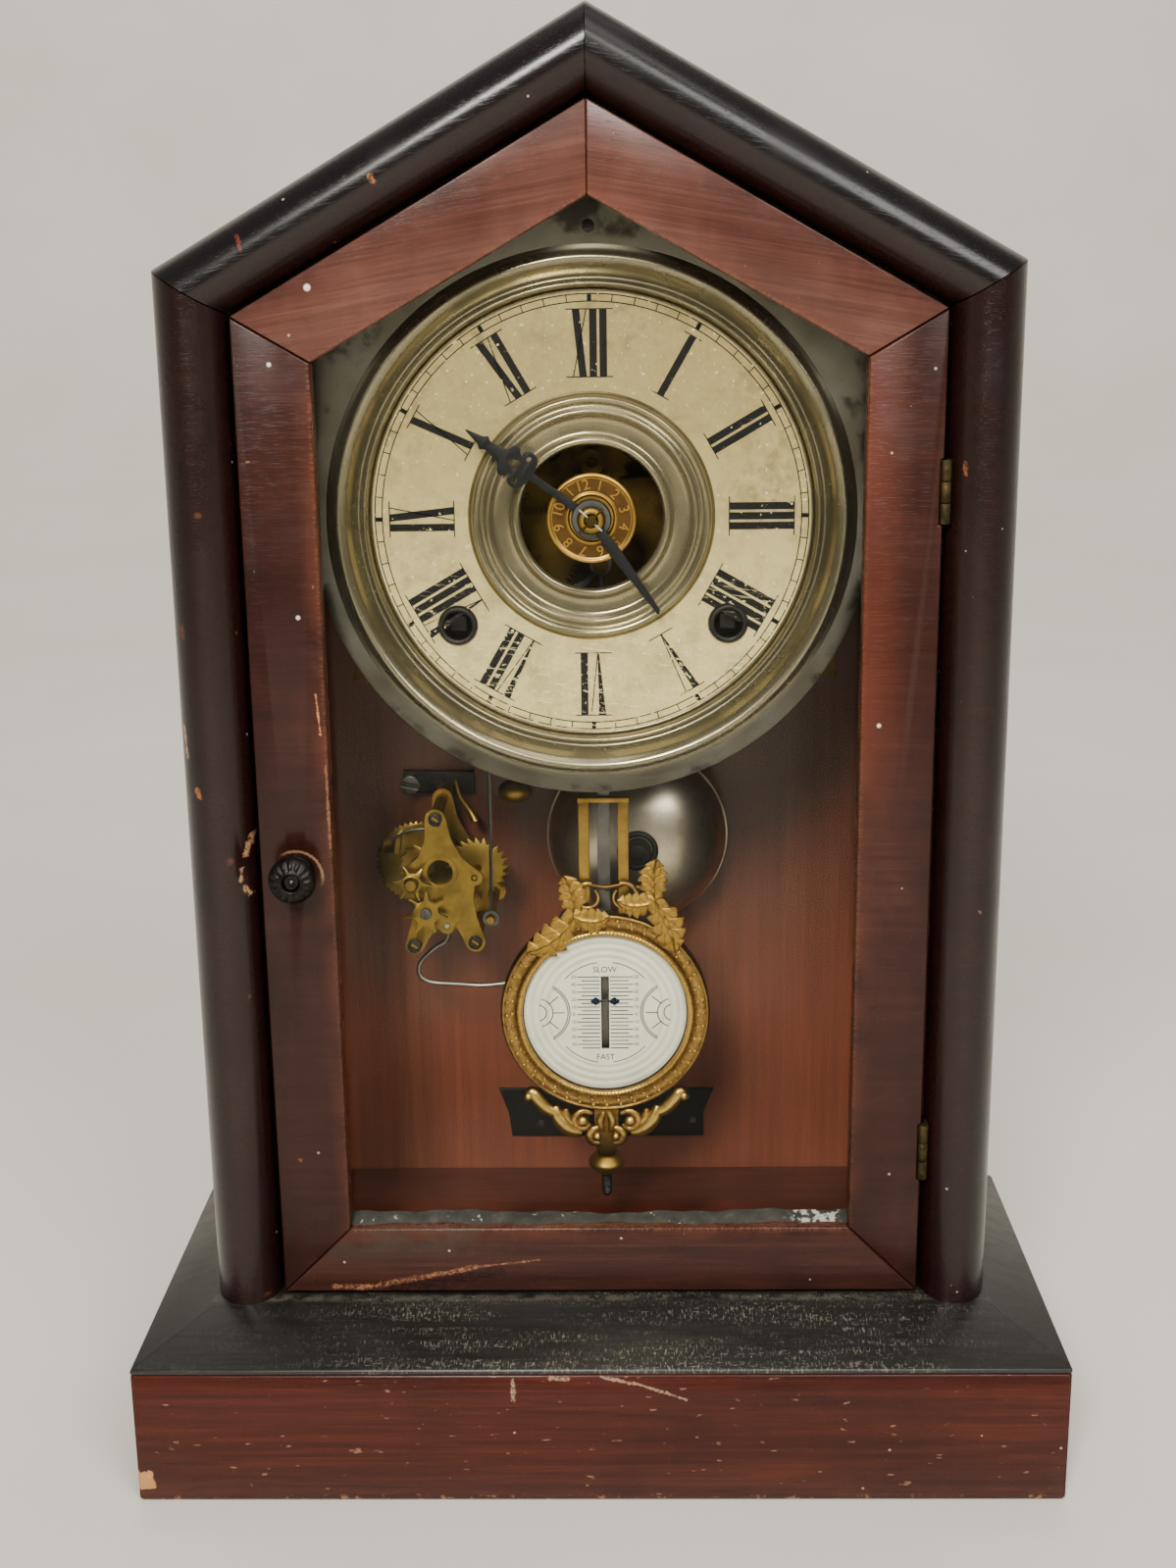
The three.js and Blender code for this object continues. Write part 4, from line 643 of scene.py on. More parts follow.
def right_stile_marks(wood, colour, face):
    """A darker foot, a paler patch on the upper stile next to the glass, and a white speck."""
    # Paler on the upper stile next to the glass.
    rubbed = wood.z.steps(170, 230) * wood.x.steps(88, 76)
    return wood.layers(colour, (wood.z.steps(200, 100) * 0.3, "1a0c09"), (rubbed * 0.35 * face, "6a3323"),
                       (wood.near((78.9, door_front, 224.2), 0.8), "ded6c8"))


def left_rake_marks(wood, colour, _):
    """A white speck."""
    return wood.blend(wood.near((-73.4, door_front, 343), 1.2), colour, "e2dbce")


def rail_marks(wood, colour, face):
    """The long scar with a painted shadow beneath it, and the grey dirt at the left end of the bottom rail.
    """
    # A painted shadow beneath the scar.
    shade = wood.stroke((-62, 52.6), (-30, 57.5), 2.6)
    dirt = wood.x.steps(-20, -45) * wood.z.steps(60, 68) * wood.noise(0.12, 4).steps(0.35, 0.65)
    bare = wood.blend(wood.noise(0.9, 3).steps(0.4, 0.6), "5a3322", "9a6a4b")
    scar = (((-79.5, 53.2), (-69.6, 52.8), 1.0), ((-69.6, 52.8), (-53.2, 56.1), 1.0),
            ((-53.2, 56.1), (-37, 59.3), 0.9), ((-37, 59.3), (-18, 61.6), 0.35))
    return wood.layers(colour, (shade * face * 0.7, "150806"), (dirt * face * 0.6, "3c342a"),
                       *((wood.stroke(*line) * face * 0.85, bare) for line in scar))


# The rakes' paler, greyer tones are painted light from above and a painted sheen of the polish on the same
# veneer as the stiles.
door_tones, rake_tones_painted_light = ("1e0f0b", "341912", "49271f"), ("3e221b", "5f3a30", "785145")
stiles = {"door_left": left_stile_marks, "door_right": right_stile_marks}
door_left, door_right = (mahogany(name, 0, door_tones, banded=0.6, own=door_marks(upright_edge, 0, marks))
                         for name, marks in stiles.items())
door_across = mahogany("door_across", 0, door_tones, own=door_marks(rail_edge, 90, rail_marks))
door_rising = mahogany("door_rising", 10, rake_tones_painted_light, clouding=0.35, banded=0.4,
                       own=door_marks(rake_edge, 90 + rake_degrees, left_rake_marks))
door_falling = mahogany("door_falling", -10, rake_tones_painted_light, clouding=0.35, banded=0.4,
                        own=door_marks(rake_edge, 90 - rake_degrees))
print("door veneers made")

# %% [markdown]
# ## Ebonised wood
# The sloped base top is black, and its lacquer has crazed into fine cracks with pale dust in them. Cracks
# could be modelled, but they have hardly any depth, so short ticks of stretched noise, kept to broad bands,
# colour them and raise a slight bump. The round mouldings were ebonised too, but the black has worn through
# to red-brown away from the top edge. There the black is one more coat over the mahogany, and its mask
# follows the moulding, as the wear does.

# %% Base lacquer
def base_lacquer():
    """Crazed black lacquer, with the mitres of the sloped edge and dust in front of the door."""
    black = Finish("base_black")
    inside = black.y.steps(-17, -14) * black.z.steps(49, 49.6)
    side_share = (base_half - black.x.maths("ABSOLUTE")) * (1 / side_ledge)
    front_share = (black.y + base_reach) * (1 / front_ledge)
    mitre = (side_share - front_share).maths("ABSOLUTE").steps(0.022, 0.008) * black.z.steps(49.9, 49.7)
    bands = black.grain(0, 0.026, 0.24, 4, 0.65).steps(0.4, 0.62)
    streaks = black.grain(0, 0.06, 1.2, 3)
    ticks = black.grain(0, 2.2, 0.5, 2).steps(0.55, 0.66)
    ticks = ticks.maths("MAXIMUM", black.grain(0, 0.5, 2, 2).steps(0.6, 0.7))
    middle = black.x.steps(-92, -50) * black.x.steps(125, 70)
    crazed = ticks * bands * (middle * 0.85 + 0.15) * (1 - inside)
    dust = black.noise(1.3, 3, 0.7).steps(0.66, 0.76)
    ledge = black.z.steps(49.6, 49.9) * black.y.steps(-30, -33) * black.y.steps(-36.4, -34.2)
    ledge = ledge * black.noise(0.22, 4).steps(0.38, 0.66)
    bare = black.ramp(black.noise(0.05, 4), (0.3, "3a1710"), (0.7, "5d2a1b"))
    colour = black.layers(black.ramp(streaks, (0.3, "131211"), (0.7, "201e1b")), (crazed * 0.5, "8f8876"),
                          (dust * 0.4, "8b7f70"), (ledge * 0.55, "565244"), (mitre * 0.8, "060505"),
                          (inside, bare))
    relief = crazed * 0.6 + streaks * 0.5 - mitre * 2 + dust * 0.3
    return black.surface(Base_Color=colour, Coat_Weight=0.2, Coat_Roughness=0.25,
                         Roughness=0.36 + bands * 0.08 + dust * 0.2 + crazed * 0.1 + ledge * 0.2,
                         Normal=black.bump(relief, 0.35, 0.1))


print("base lacquer ready")

# %% Moulding finishes
def moulding_finish(name, degrees, blackened, marks=()):
    """Round moulding; blackened() says how much black is left, marks are scratches down to the wood."""
    def own(wood, colour):
        left = (blackened(wood) + wood.noise(0.05, 4) * 0.5 - 0.25).steps(0.25, 0.75)
        rub = wood.grain(degrees, 0.02, 0.4, 3).steps(0.55, 0.7)
        chips = wood.cells(0.045).steps(0.11, 0.08) * wood.noise(0.02, 2).steps(0.55, 0.62)
        scratches = [(wood.stroke(*line), paint) for *line, paint in marks]
        return wood.layers(colour, (left * (1 - rub * 0.25), "0f0b0b"), (chips * 0.7, "8a5433"), *scratches)
    return mahogany(name, degrees, ("120807", "1d0d0b", "2b1511"), clouding=0.5, roughness=0.24, gloss=0.34,
                    banded=0.5, own=own)


def rake_black(sign):
    """Black above and red-brown below, by the distance from the outer line of that rake."""
    def blackened(wood):
        across = wood.x * (sign * math.sin(slope)) + wood.z * math.cos(slope)
        return across.steps(rake_line - 21, rake_line - 4)
    return blackened


base_black = base_lacquer()
chipped = [((-96.6, 194), (-98.2, 188.8), 0.8, "a9805c"), ((-99.4, 185), (-99.6, 181.6), 0.6, "987455"),
           ((-98.8, 179.6), (-97.7, 177), 0.7, "a9805c"), ((-110, 208.4), (-109.4, 206.6), 0.9, "93592f"),
           ((-111.6, 254), (-111.2, 251.6), 0.9, "5a271a"), ((-113.2, 226), (-112.6, 217), 0.4, "a98b62")]
upright_left_finish = moulding_finish("upright_left_finish", 0, lambda w: w.x.steps(-97, -113) * 0.5, chipped)
upright_right_finish = moulding_finish("upright_right_finish", 0, lambda w: w.x.steps(97, 113) * 0.55,
                                       [((99.5, 296), (99.7, 293), 0.5, "7d4a2b")])
rake_left_finish = moulding_finish("rake_left_finish", 10, rake_black(-1),
                                   [((-55, 370.2), (-54, 369), 0.9, "8f5932"),
                                    ((-90.4, 356), (-89.2, 352.6), 0.7, "5f2c1c")])
rake_right_finish = moulding_finish("rake_right_finish", -10, rake_black(1))
print("ebonised finishes made")

# %% [markdown]
# ## Metals
# Every metal here has aged. Clouds of tarnish darken it and make it duller, and small dark pits break the
# shine. One rule serves brass, gilding, steel and the bell, with the colours of each.

# %% Metal finishes
def metal(name, clean, dull, pit, roughness=0.32, tarnish=0.5, scale=0.12, bare=1.0):
    """Aged metal; the scale is that of its tarnish, and bare is how metallic it still looks."""
    aged = Finish(name)
    clouds = aged.noise(scale, 5, 0.62).steps(0.38, 0.68)
    grime = aged.noise(scale * 5, 4, 0.6).steps(0.55, 0.75)
    pits = aged.noise(1.6, 2, 0.6).steps(0.68, 0.76)
    colour = aged.blend(clouds * tarnish, clean, dull)
    colour = aged.layers(colour, (grime * tarnish * 0.6, dull), (pits * 0.7, pit))
    relief = aged.noise(3.5, 2) * 0.4 - pits
    return aged.surface(Base_Color=colour, Metallic=bare, Roughness=roughness + clouds * 0.16 + pits * 0.2,
                        Normal=aged.bump(relief, 0.2, 0.05))


brass = metal("aged_brass", "a8873f", "5f4a22", "2a2012", 0.36)
plate_brass = metal("plate_brass", "8b7334", "544421", "2b210e", 0.34, 0.5, 0.16)
deep_brass = metal("deep_brass", "59471f", "281f12", "120e0b", 0.42, 0.7)
hinge_brass = metal("hinge_brass", "4d3f22", "1d1710", "0e0b08", 0.55, 0.85, 0.3, 0.8)
gilt = metal("gilding", "c9a04e", "86672f", "3b2711", 0.3, 0.45, 0.3)
steel = metal("dull_steel", "6c6b69", "3a3836", "1d1a18", 0.38, 0.5)
dark_steel = metal("dark_steel", "3a3938", "232120", "100f0e", 0.45, 0.5)
blued = metal("blued_steel", "17171b", "0d0c0d", "2f2620", 0.48, 0.5, 0.4, 0.55)
bell_metal = metal("bell_metal", "cfc5b2", "857c6c", "463f35", 0.3, 0.55, 0.05)
knob_metal = metal("knob_metal", "2f2d2b", "171514", "5d5850", 0.36, 0.6, 0.4)
dress(deep_brass, "front_plate", "back_plate", "second_wheel", "third_wheel", "centre_wheel", "escape_wheel",
      "time_great_wheel", "strike_great_wheel", "minute_wheel", "hour_wheel")
dress(dark_steel, "time_winding_arbor", "strike_winding_arbor")
dress(steel, "time_mainspring", "strike_mainspring", "verge", "latch_hook", "alarm_trip_wire")
dress(brass, "alarm_back_plate")
print("metal finishes made")

# %% [markdown]
# ## Glass
# A pane is nearly all see-through, with a mirror-like skin that grows towards grazing views. A shader that
# bends light could be used, but behind it the dial would lie in shadow. Mixing a transparent and a glossy
# shader by a Fresnel weight keeps the inside bright.

# %% Glass finishes
def clear_glass(name, tint, haze=0.004):
    """Old window glass; the haze is how much its smears mirror."""
    pane = Finish(name)
    skin = pane.node("ShaderNodeFresnel", {}, {"IOR": 1.4})
    smears = pane.noise(0.02, 4).steps(0.5, 0.8) * haze
    through = pane.node("ShaderNodeBsdfTransparent", {}, {"Color": (*linear(tint), 1)})
    gloss = pane.node("ShaderNodeBsdfPrincipled", {}, {
        "Base Color": (*linear("e8ece8"), 1), "Roughness": 0.04, "Specular IOR Level": 0.9, "Metallic": 0.9})
    return pane.shown(pane.node("ShaderNodeMixShader", {}, {0: skin * 0.15 + smears, 1: through, 2: gloss}))


door_glass = clear_glass("door_glass", "fdfdfa")
dome_glass = clear_glass("dome_glass", "fefefc", 0.002)
dress(door_glass, "door_glass")
print("glass finishes made")

# %% [markdown]
# ## The case
# The boards keep their CAD shape with rounded edges, because an edge that is too sharp catches no light. The
# mouldings are half round, so they are drawn again with a finer profile: a section swept between two mitre
# lines. The back board is polished inside and bare outside, so its finish changes with depth.

# %% Boards
boards = {"plinth_front": plinth_wood, "plinth_left": plinth_wood, "plinth_right": plinth_wood,
          "side_left": side_wood, "side_right": side_wood,
          "roof_left": roof_wood_left, "roof_right": roof_wood_right}
for name, finish in boards.items():
    add(name + "_board", softened(name, 0.7), finish, "case", [name])
add("base_top_board", softened("base_top", 0.6), base_black, "case", ["base_top"])
rails = {"door_stile_left": door_left, "door_stile_right": door_right, "door_rail": door_across,
         "door_rake_left": door_rising, "door_rake_right": door_falling}
for name, finish in rails.items():
    add(name + "_wood", softened(name, 0.45), finish, "door", [name])
print("boards and door rails softened")

# %% Mouldings
moulding_width, crown, flat, mitre = 19.6, -37.5, -24.5, 0.2


def eave(inset):
    """Half width, eave level and apex of the gable's outline at a distance inside it."""
    top = apex - inset / math.cos(slope)
    return case_half - inset, top - (case_half - inset) * math.tan(slope), top


def moulding(side, rake):
    """One half-round moulding: an upright from the base to the eave, or a rake from eave to apex."""
    steps = 28
    section = [(moulding_width, case_front), (0, case_front)]
    for i in range(steps + 1):
        turn = math.pi * i / steps
        section.append((moulding_width / 2 * (1 - math.cos(turn)), flat + (crown - flat) * math.sin(turn)))
    foot, head = [], []
    for inset, y in section:
        half, level, top = eave(inset)
        if rake:
            foot.append((side * (half - mitre), y, level + mitre / 2))
            head.append((side * mitre / 2, y, top - mitre / 2))
        else:
            foot.append((side * half, y, base_level))
            head.append((side * half, y, level - mitre))
    return prism(foot, head, 40)


for name, side, rake, finish in (("moulding_left", -1, False, upright_left_finish),
                                 ("moulding_right", 1, False, upright_right_finish),
                                 ("moulding_rake_left", -1, True, rake_left_finish),
                                 ("moulding_rake_right", 1, True, rake_right_finish)):
    add(name + "_round", moulding(side, rake), finish, "case", [name])
print("four mouldings swept")

# %% Back board
def back_finish():
    """Polished red-brown inside under a painted shadow of the dial, bare, dusty and saw-marked wood outside.
    """
    board = Finish("back_board_wood")
    figure = board.grain(90, 0.012, 0.3, 4, distortion=0.6)
    fine = board.grain(90, 0.03, 1.6, 3, distortion=0.2)
    pores = board.grain(90, 0.14, 4, 2).steps(0.58, 0.72)
    clouds = board.noise(0.02, 3).steps(0.4, 0.75)
    # Painted shadow of the dial: the inside is darkened above z 85, and more so towards the right.
    high = board.z.steps(85, 195) * (board.x.steps(-40, 60) * 0.35 + 0.4)
    inside = board.ramp(figure * 0.7 + fine * 0.3, (0.3, "6c3825"), (0.7, "8b4d35"))
    inside = board.layers(inside, (clouds * 0.3, "562616"), (high, "32140b"))
    off_x, off_z = board.x - 41, board.z - 262
    knot = (off_x * off_x + off_z * off_z * 0.3).maths("SQRT")
    rings = (knot * 1.5 + fine * 5).maths("SINE").steps(0.1, 0.9) * knot.steps(15, 3)
    sawn = (board.z * 1.5 + board.x * 0.12 + board.noise(0.03, 3) * 14).maths("SINE").steps(0.4, 1)
    sawn = sawn * board.noise(0.03, 4).steps(0.45, 0.65)
    rim = board.x.maths("ABSOLUTE").steps(92, 107).maths("MAXIMUM", board.z.steps(30, 2))
    outside = board.ramp(figure * 0.5 + fine * 0.5, (0.3, "593e27"), (0.5, "7b5c37"), (0.7, "94744a"))
    outside = board.layers(outside, (clouds * 0.35, "4a3626"),
                           (rim * board.noise(0.07, 4).steps(0.3, 0.65) * 0.7, "2f2118"),
                           (rings * 0.6 + knot.steps(4, 2) * 0.6, "3a2415"), (sawn * 0.25, "a58b62"))
    seam = (board.x - 2.5).maths("ABSOLUTE").steps(0.7, 0.2)
    bare = board.y.steps(57, 58)
    colour = board.blend(bare, inside, outside)
    colour = board.blend(pores * 0.4 + seam * 0.6, colour, "240f08")
    relief = figure * 0.5 + fine * 0.3 - pores * 0.5 - seam * 2 + sawn * bare * 0.6
    return board.surface(Base_Color=colour, Roughness=0.42 + clouds * 0.12 + bare * 0.22,
                         Coat_Weight=0.12 - bare * 0.12, Normal=board.bump(relief, 0.35, 0.15))


dress(back_finish(), "back_board")
print("back board finished")

# %% [markdown]
# ## The dial
# A dish pressed from sheet metal carries the paper dial: a flat flange, two rolled beads, and a raised rim
# round the open centre. The profile is turned with many sides, so that its reflections stay smooth.

# %% Dial metal
dial_low, dial_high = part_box("dial_paper")
dial_z = (dial_low.z + dial_high.z) / 2 / MM
seat, sheet = dial_high.y / MM, 0.8
winder_x, winder_z = 38.3, dial_z - 30.2


def pan_metal():
    """Stained sheet metal, dark and blotted on the flange, and paler round the open middle as a painted
    reflection.
    """
    tin = Finish("pan_metal")
    out = tin.from_axis(0, dial_z)
    swirl = tin.noise(0.05, 2, 0.5)
    stains = swirl.steps(0.45, 0.72)
    specks = tin.noise(0.9, 3, 0.7).steps(0.64, 0.74)
    # The paler, less metallic middle is a painted reflection of a bright room.
    flange, middle = out.steps(71.5, 74), out.steps(36, 34.5)
    blots = tin.noise(0.075, 5, 0.65).steps(0.5, 0.64) * out.steps(74.5, 77)
    colour = tin.layers(tin.blend(stains * 0.5, "979079", "615b4e"),
                        (flange * 0.8, tin.ramp(swirl, (0.35, "2b2b2b"), (0.65, "595a59"))),
                        (blots * 0.75, "15120f"),
                        (middle * 0.6, tin.ramp(swirl, (0.3, "756c50"), (0.65, "a89d7b"))),
                        (specks * 0.55, "3a3226"))
    shine = 0.24 + stains * 0.1 + specks * 0.2 + flange * 0.12
    return tin.surface(Base_Color=colour, Metallic=0.95 - middle * 0.15, Roughness=shine - middle * 0.06,
                       Normal=tin.bump(specks * -1, 0.06, 0.05))


print("dial centre", round(dial_z, 1), "mm up")

# %% Dial pan
def dial_circle(radius, steps=128):
    """A circle about the middle of the dial."""
    return arc(radius, centre=(0, dial_z), steps=steps)


def winder_circles(radius, steps):
    """A circle about each winding hole."""
    return [arc(radius, centre=(side * winder_x, winder_z), steps=steps) for side in both]


dish_face = flowing(raised(case_front, (73.5, 0), (72, -0.6), (70, -1.8), (68.2, -0.6), (67.2, 0.9), (66, 3),
                           (65, 4.1), (64.2, 3.6), (63.4, 2.9), (62.6, 3.7))
                    + raised(seat, (61.9, 0), (60.5, 0), (59.5, 0)), 4)
rim_face = flowing(raised(seat, (36, 0), (34.3, 0), (33.7, -0.9), (32.8, -1.9), (31.8, -1.6), (31, -0.8),
                          (30.2, -1.1), (29.2, -1.7), (28.2, -1), (27.2, -0.2), (26, 0), (23.5, 0),
                          (22.6, -0.7), (21.5, -1.5), (20.5, -1.3), (20, -0.4)), 4)
pressed = [lathe(face + raised(sheet, *face[::-1]) + face[:1], (0, dial_z), 192, angle=60)
           for face in (dish_face, rim_face)]
floor_loops = [dial_circle(59.7), dial_circle(35.8), *winder_circles(4.6, 40)]
pressed.append(plate(floor_loops, seat, seat + sheet))
inner_half, inner_level, inner_top = eave(10.3)
ear, flange_reach = 18, 78
ear_turn = math.degrees(math.asin(ear / flange_reach))
flange_line = [(inner_half, dial_z - ear), (inner_half, inner_level), (0, inner_top),
               (-inner_half, inner_level), (-inner_half, dial_z - ear)]
flange_line += arc(flange_reach, 180 + ear_turn, 360 - ear_turn, (0, dial_z), 96)
flange = plate([flange_line, dial_circle(73.4, 192)], case_front, case_front + sheet, 0.15)
add("dial_pan_pressed", joined(*pressed, flange), pan_metal(), "case", ["dial_pan"])
grommet = flowing(raised(seat, (4, sheet), (4, -1.0), (4.3, -1.5), (4.9, -1.6), (5.4, -1.2), (5.5, -0.3)), 3)
grommets = [lathe(grommet, (side * winder_x, winder_z), 48, angle=60) for side in both]
add("winding_grommets", joined(*grommets), dark_steel, "case")
print("dial pan in", len(pressed) + 1, "pressings")

# %% [markdown]
# ## The paper dial and its printing
# The paper has yellowed. It is mottled by handling above and scratched below, and there the ink has flaked
# most.
# Its colour is painted darker above and paler below, as painted shade and a painted sheen. A font could give
# the numerals, but these are taller and finer than a font's, so each is built from thick and thin strokes,
# upright, and then turned to its hour. The printing is real, very thin geometry, which stays sharp close up.
# The marks of the minute track repeat sixty times, so they come from the recipe.

# %% Paper
def aged_paper():
    """Yellowed paper with painted shade above and a painted sheen below, mottled by handling above, scratched
    below.
    """
    paper = Finish("aged_paper")
    fibre = paper.noise(0.9, 4, 0.65)
    foxing = paper.noise(0.09, 5, 0.65).steps(0.45, 0.75)
    # Painted shade above and painted sheen below: the paper's colour grows paler downward.
    lower = paper.z.steps(dial_z + 45, dial_z - 50)
    scratch = paper.noise(1, 4, 0.65, 0.4, paper.turned(-8, (0.1, 1, 1.6))).steps(0.6, 0.66)
    low_only = paper.z.steps(dial_z - 25, dial_z - 45)
    flecks = paper.noise(0.6, 4, 0.7).steps(0.63, 0.67)
    pale = (scratch * low_only * 0.8).maths("MAXIMUM", flecks * 0.6)
    mottle = paper.noise(0.22, 5, 0.7).steps(0.42, 0.68)
    handled = paper.noise(0.035, 3).steps(0.35, 0.65) * (1 - lower * 0.7)
    colour = paper.layers(paper.blend(lower, "a49361", "dccc92"), (fibre.steps(0.35, 0.7) * 0.35, "bfae78"),
                          (foxing * 0.6, "9a875a"), (mottle * (handled * 0.75 + 0.15), "776942"),
                          (pale, "faf3da"))
    return paper.surface(Base_Color=colour, Roughness=0.38 + foxing * 0.15 - scratch * 0.1, Metallic=0.12,
                         Normal=paper.bump(fibre, 0.12, 0.08), Coat_Weight=0.1)


paper_front = dial_low.y / MM
paper_loops = [dial_circle(61.3, 160), dial_circle(34.6, 120), *winder_circles(5.8, 48)]
add("dial_paper_sheet", plate(paper_loops, paper_front, seat), aged_paper(), "case",
    ["dial_paper"])


def flaked_ink():
    """Black ink, flaked all over and scratched on the lower half."""
    ink = Finish("flaked_ink")
    scratch = ink.noise(1, 3, 0.6, 0.4, ink.turned(-8, (0.12, 1.2, 1.6))).steps(0.6, 0.66)
    low = ink.z.steps(dial_z - 5, dial_z - 35)
    flakes = (ink.noise(0.7, 3, 0.62) + low * 0.05).steps(0.66, 0.7)
    lost = flakes.maths("MAXIMUM", scratch * low * 0.8)
    colour = ink.blend(lost, "121211", "d5c89c")
    return ink.surface(Base_Color=colour, Roughness=0.65 - lost * 0.1, Specular_IOR_Level=0.2)


ink = flaked_ink()
print("paper dial cut")

# %% Numerals
inner_reach, outer_reach, stem, gap, hair, overshoot = 38.6, 56.4, 2.05, 0.7, 0.3, 1.7
ink_front, ink_back = paper_front - 0.05, paper_front + 0.02
# Strokes of each letter: two ends at the foot, two at the head, as distances across.
letters = {
    "I": (stem, [(0, stem, 0, stem)]),
    "V": (4.4, [(1.9, 2.3, 0, stem), (2.1, 2.1 + hair, 4.1, 4.4)]),
    "X": (4.0, [(1.9, 3.95, 0, stem), (0.1, 0.1 + hair, 3.7, 4.0)]),
}


def ink_stroke(corners):
    """A thin closed stroke of ink between four corners of (x, z)."""
    return prism(*([(x, y, z) for x, z in corners] for y in (ink_front, ink_back)))


def numeral(text):
    """A numeral standing on its inner reach, centred on x = 0."""
    width = sum(letters[letter][0] for letter in text) + gap * (len(text) - 1)
    x, strokes = -width / 2, []
    for letter in text:
        for foot0, foot1, head0, head1 in letters[letter][1]:
            strokes.append(ink_stroke([(x + foot0, inner_reach), (x + foot1, inner_reach),
                                       (x + head1, outer_reach), (x + head0, outer_reach)]))
        x += letters[letter][0] + gap
    half = width / 2 + overshoot
    for level in (inner_reach - hair, outer_reach):
        strokes.append(ink_stroke(oblong(-half, half, level, level + hair)))
    return joined(*strokes)


hours = ["XII", "I", "II", "III", "IIII", "V", "VI", "VII", "VIII", "IX", "X", "XI"]
figures = [moved(numeral(text), 0, 0, dial_z, 30 * i) for i, text in enumerate(hours)]
add("hour_numerals", joined(*figures), ink, "case")
print(len(figures), "numerals drawn")

# %% Minute track
track_inner, track_middle, track_outer = 58.6, 59, 60.6
track = []
for count, half, outer in ((60, 0.14, track_outer), (12, 0.6, track_outer - 0.2)):
    mark = sheet_mark(oblong(track_inner - track_middle, outer - track_middle, -half, half))
    track.append(ring_of(mark, count, track_middle, ink, 0, paper_front - 0.02, dial_z))
for radius in (track_inner, track_outer):
    loops = [dial_circle(radius + 0.15, 180), dial_circle(radius - 0.15, 180)]
    track.append(plate(loops, ink_front, ink_back))
add("minute_track", joined(*track), ink, "case")
print("minute track of 60 marks")

# %% [markdown]
# ## Alarm disc and hands
# The small gilt disc in the middle sets the alarm: a turned plate with a raised rim and raised figures. Its
# figures are plain, so a font gives them. The hands are cut from thin blackened steel, so each is an outline
# with a slightly rounded edge, which catches a line of light that a square cut would miss.

# %% Alarm disc
disc_low, disc_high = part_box("alarm_disc")
disc_front, disc_back = disc_low.y / MM, disc_high.y / MM
field = disc_front + 0.45
disc_face = [(5.2, disc_back), (5.2, field), (5.9, field)]
disc_face += flowing([(6.1, field), *raised(disc_front, (6.5, 0.05), (7, 0.05)), (7.3, field), (8, field),
                      (11, field), *raised(disc_front, (11.5, 0.1), (11.9, 0), (12.4, 0.3))], 4)
disc_face += [(12.5, disc_back), (5.2, disc_back)]
disc_figures = []
for hour in range(1, 13):
    figure = lettering(str(hour), 4.1, 0.6)
    disc_figures.append(moved(moved(figure, 0, field, 9.25), 0, 0, dial_z, 30 * hour - 15))
disc_body = lathe(disc_face, (0, dial_z), 128)
add("alarm_disc_turned", joined(disc_body, *disc_figures), gilt, "alarm_setting",
    ["alarm_disc"])
ground_loops = [dial_circle(11, 96), dial_circle(7.4, 72)]
disc_ground = metal("disc_ground", "5d4019", "3a2710", "1c130a", 0.5, 0.5, 0.3, 0.8)
add("alarm_disc_ground", plate(ground_loops, field - 0.03, field + 0.1), disc_ground,
    "alarm_setting")
print("alarm disc with", len(disc_figures), "figures")

# %% Hands
def hand(node, body, loops, front, back, hub_face, turn):
    """A cut blade on a turned hub, set to its place on the dial, instead of a CAD hand."""
    inner, outer = hub_face[0][0], hub_face[-1][0]
    hub_line = [(inner, back), *raised(front, *hub_face), (outer, back), (inner, back)]
    blade = plate(loops, front, back, 0.12)
    whole = joined(blade, lathe(hub_line, sides=64))
    add(node + "_cut", moved(whole, 0, 0, dial_z, turn), blued, body, [node])


hour_low, hour_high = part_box("hour_hand")
hour_front = hour_low.y / MM + 0.4
right_side = [(1.25, 4), (1.15, 12), (1.1, 19.2), (1.9, 20.4), (3.9, 20.9), (5.2, 22.2), (5.5, 23.8),
              (4.9, 25.2), (3.7, 25.6), (2.9, 25.2), (3.4, 26.4), (4.3, 26.9), (4.6, 28), (4.1, 29),
              (3, 29.5), (2.1, 30.2), (1.6, 33), (1.4, 35), (2.1, 36.2), (1.3, 37.4), (0.7, 40), (0.15, 42.3)]
eye = flowing([(-1.6, 25), (1.6, 25), (0.9, 27), (0, 28.9), (-0.9, 27)], 3, True)
scrolls = [arc(0.75, centre=(side * 3.4, 23.5), steps=14) for side in both]
hand("hour_hand", "hour", [mirrored(flowing(right_side, 4)), eye, *scrolls], hour_front, hour_high.y / MM,
     ((3.9, -0.4), (5.4, -0.4), (5.6, -0.2)), 306)
washer_line = raised(hour_front, (3.2, -0.42), (5.2, -0.42), (5.4, -0.3), (3.2, -0.3))
add("hand_washer", lathe(washer_line, (0, dial_z), 64), steel, "hour")

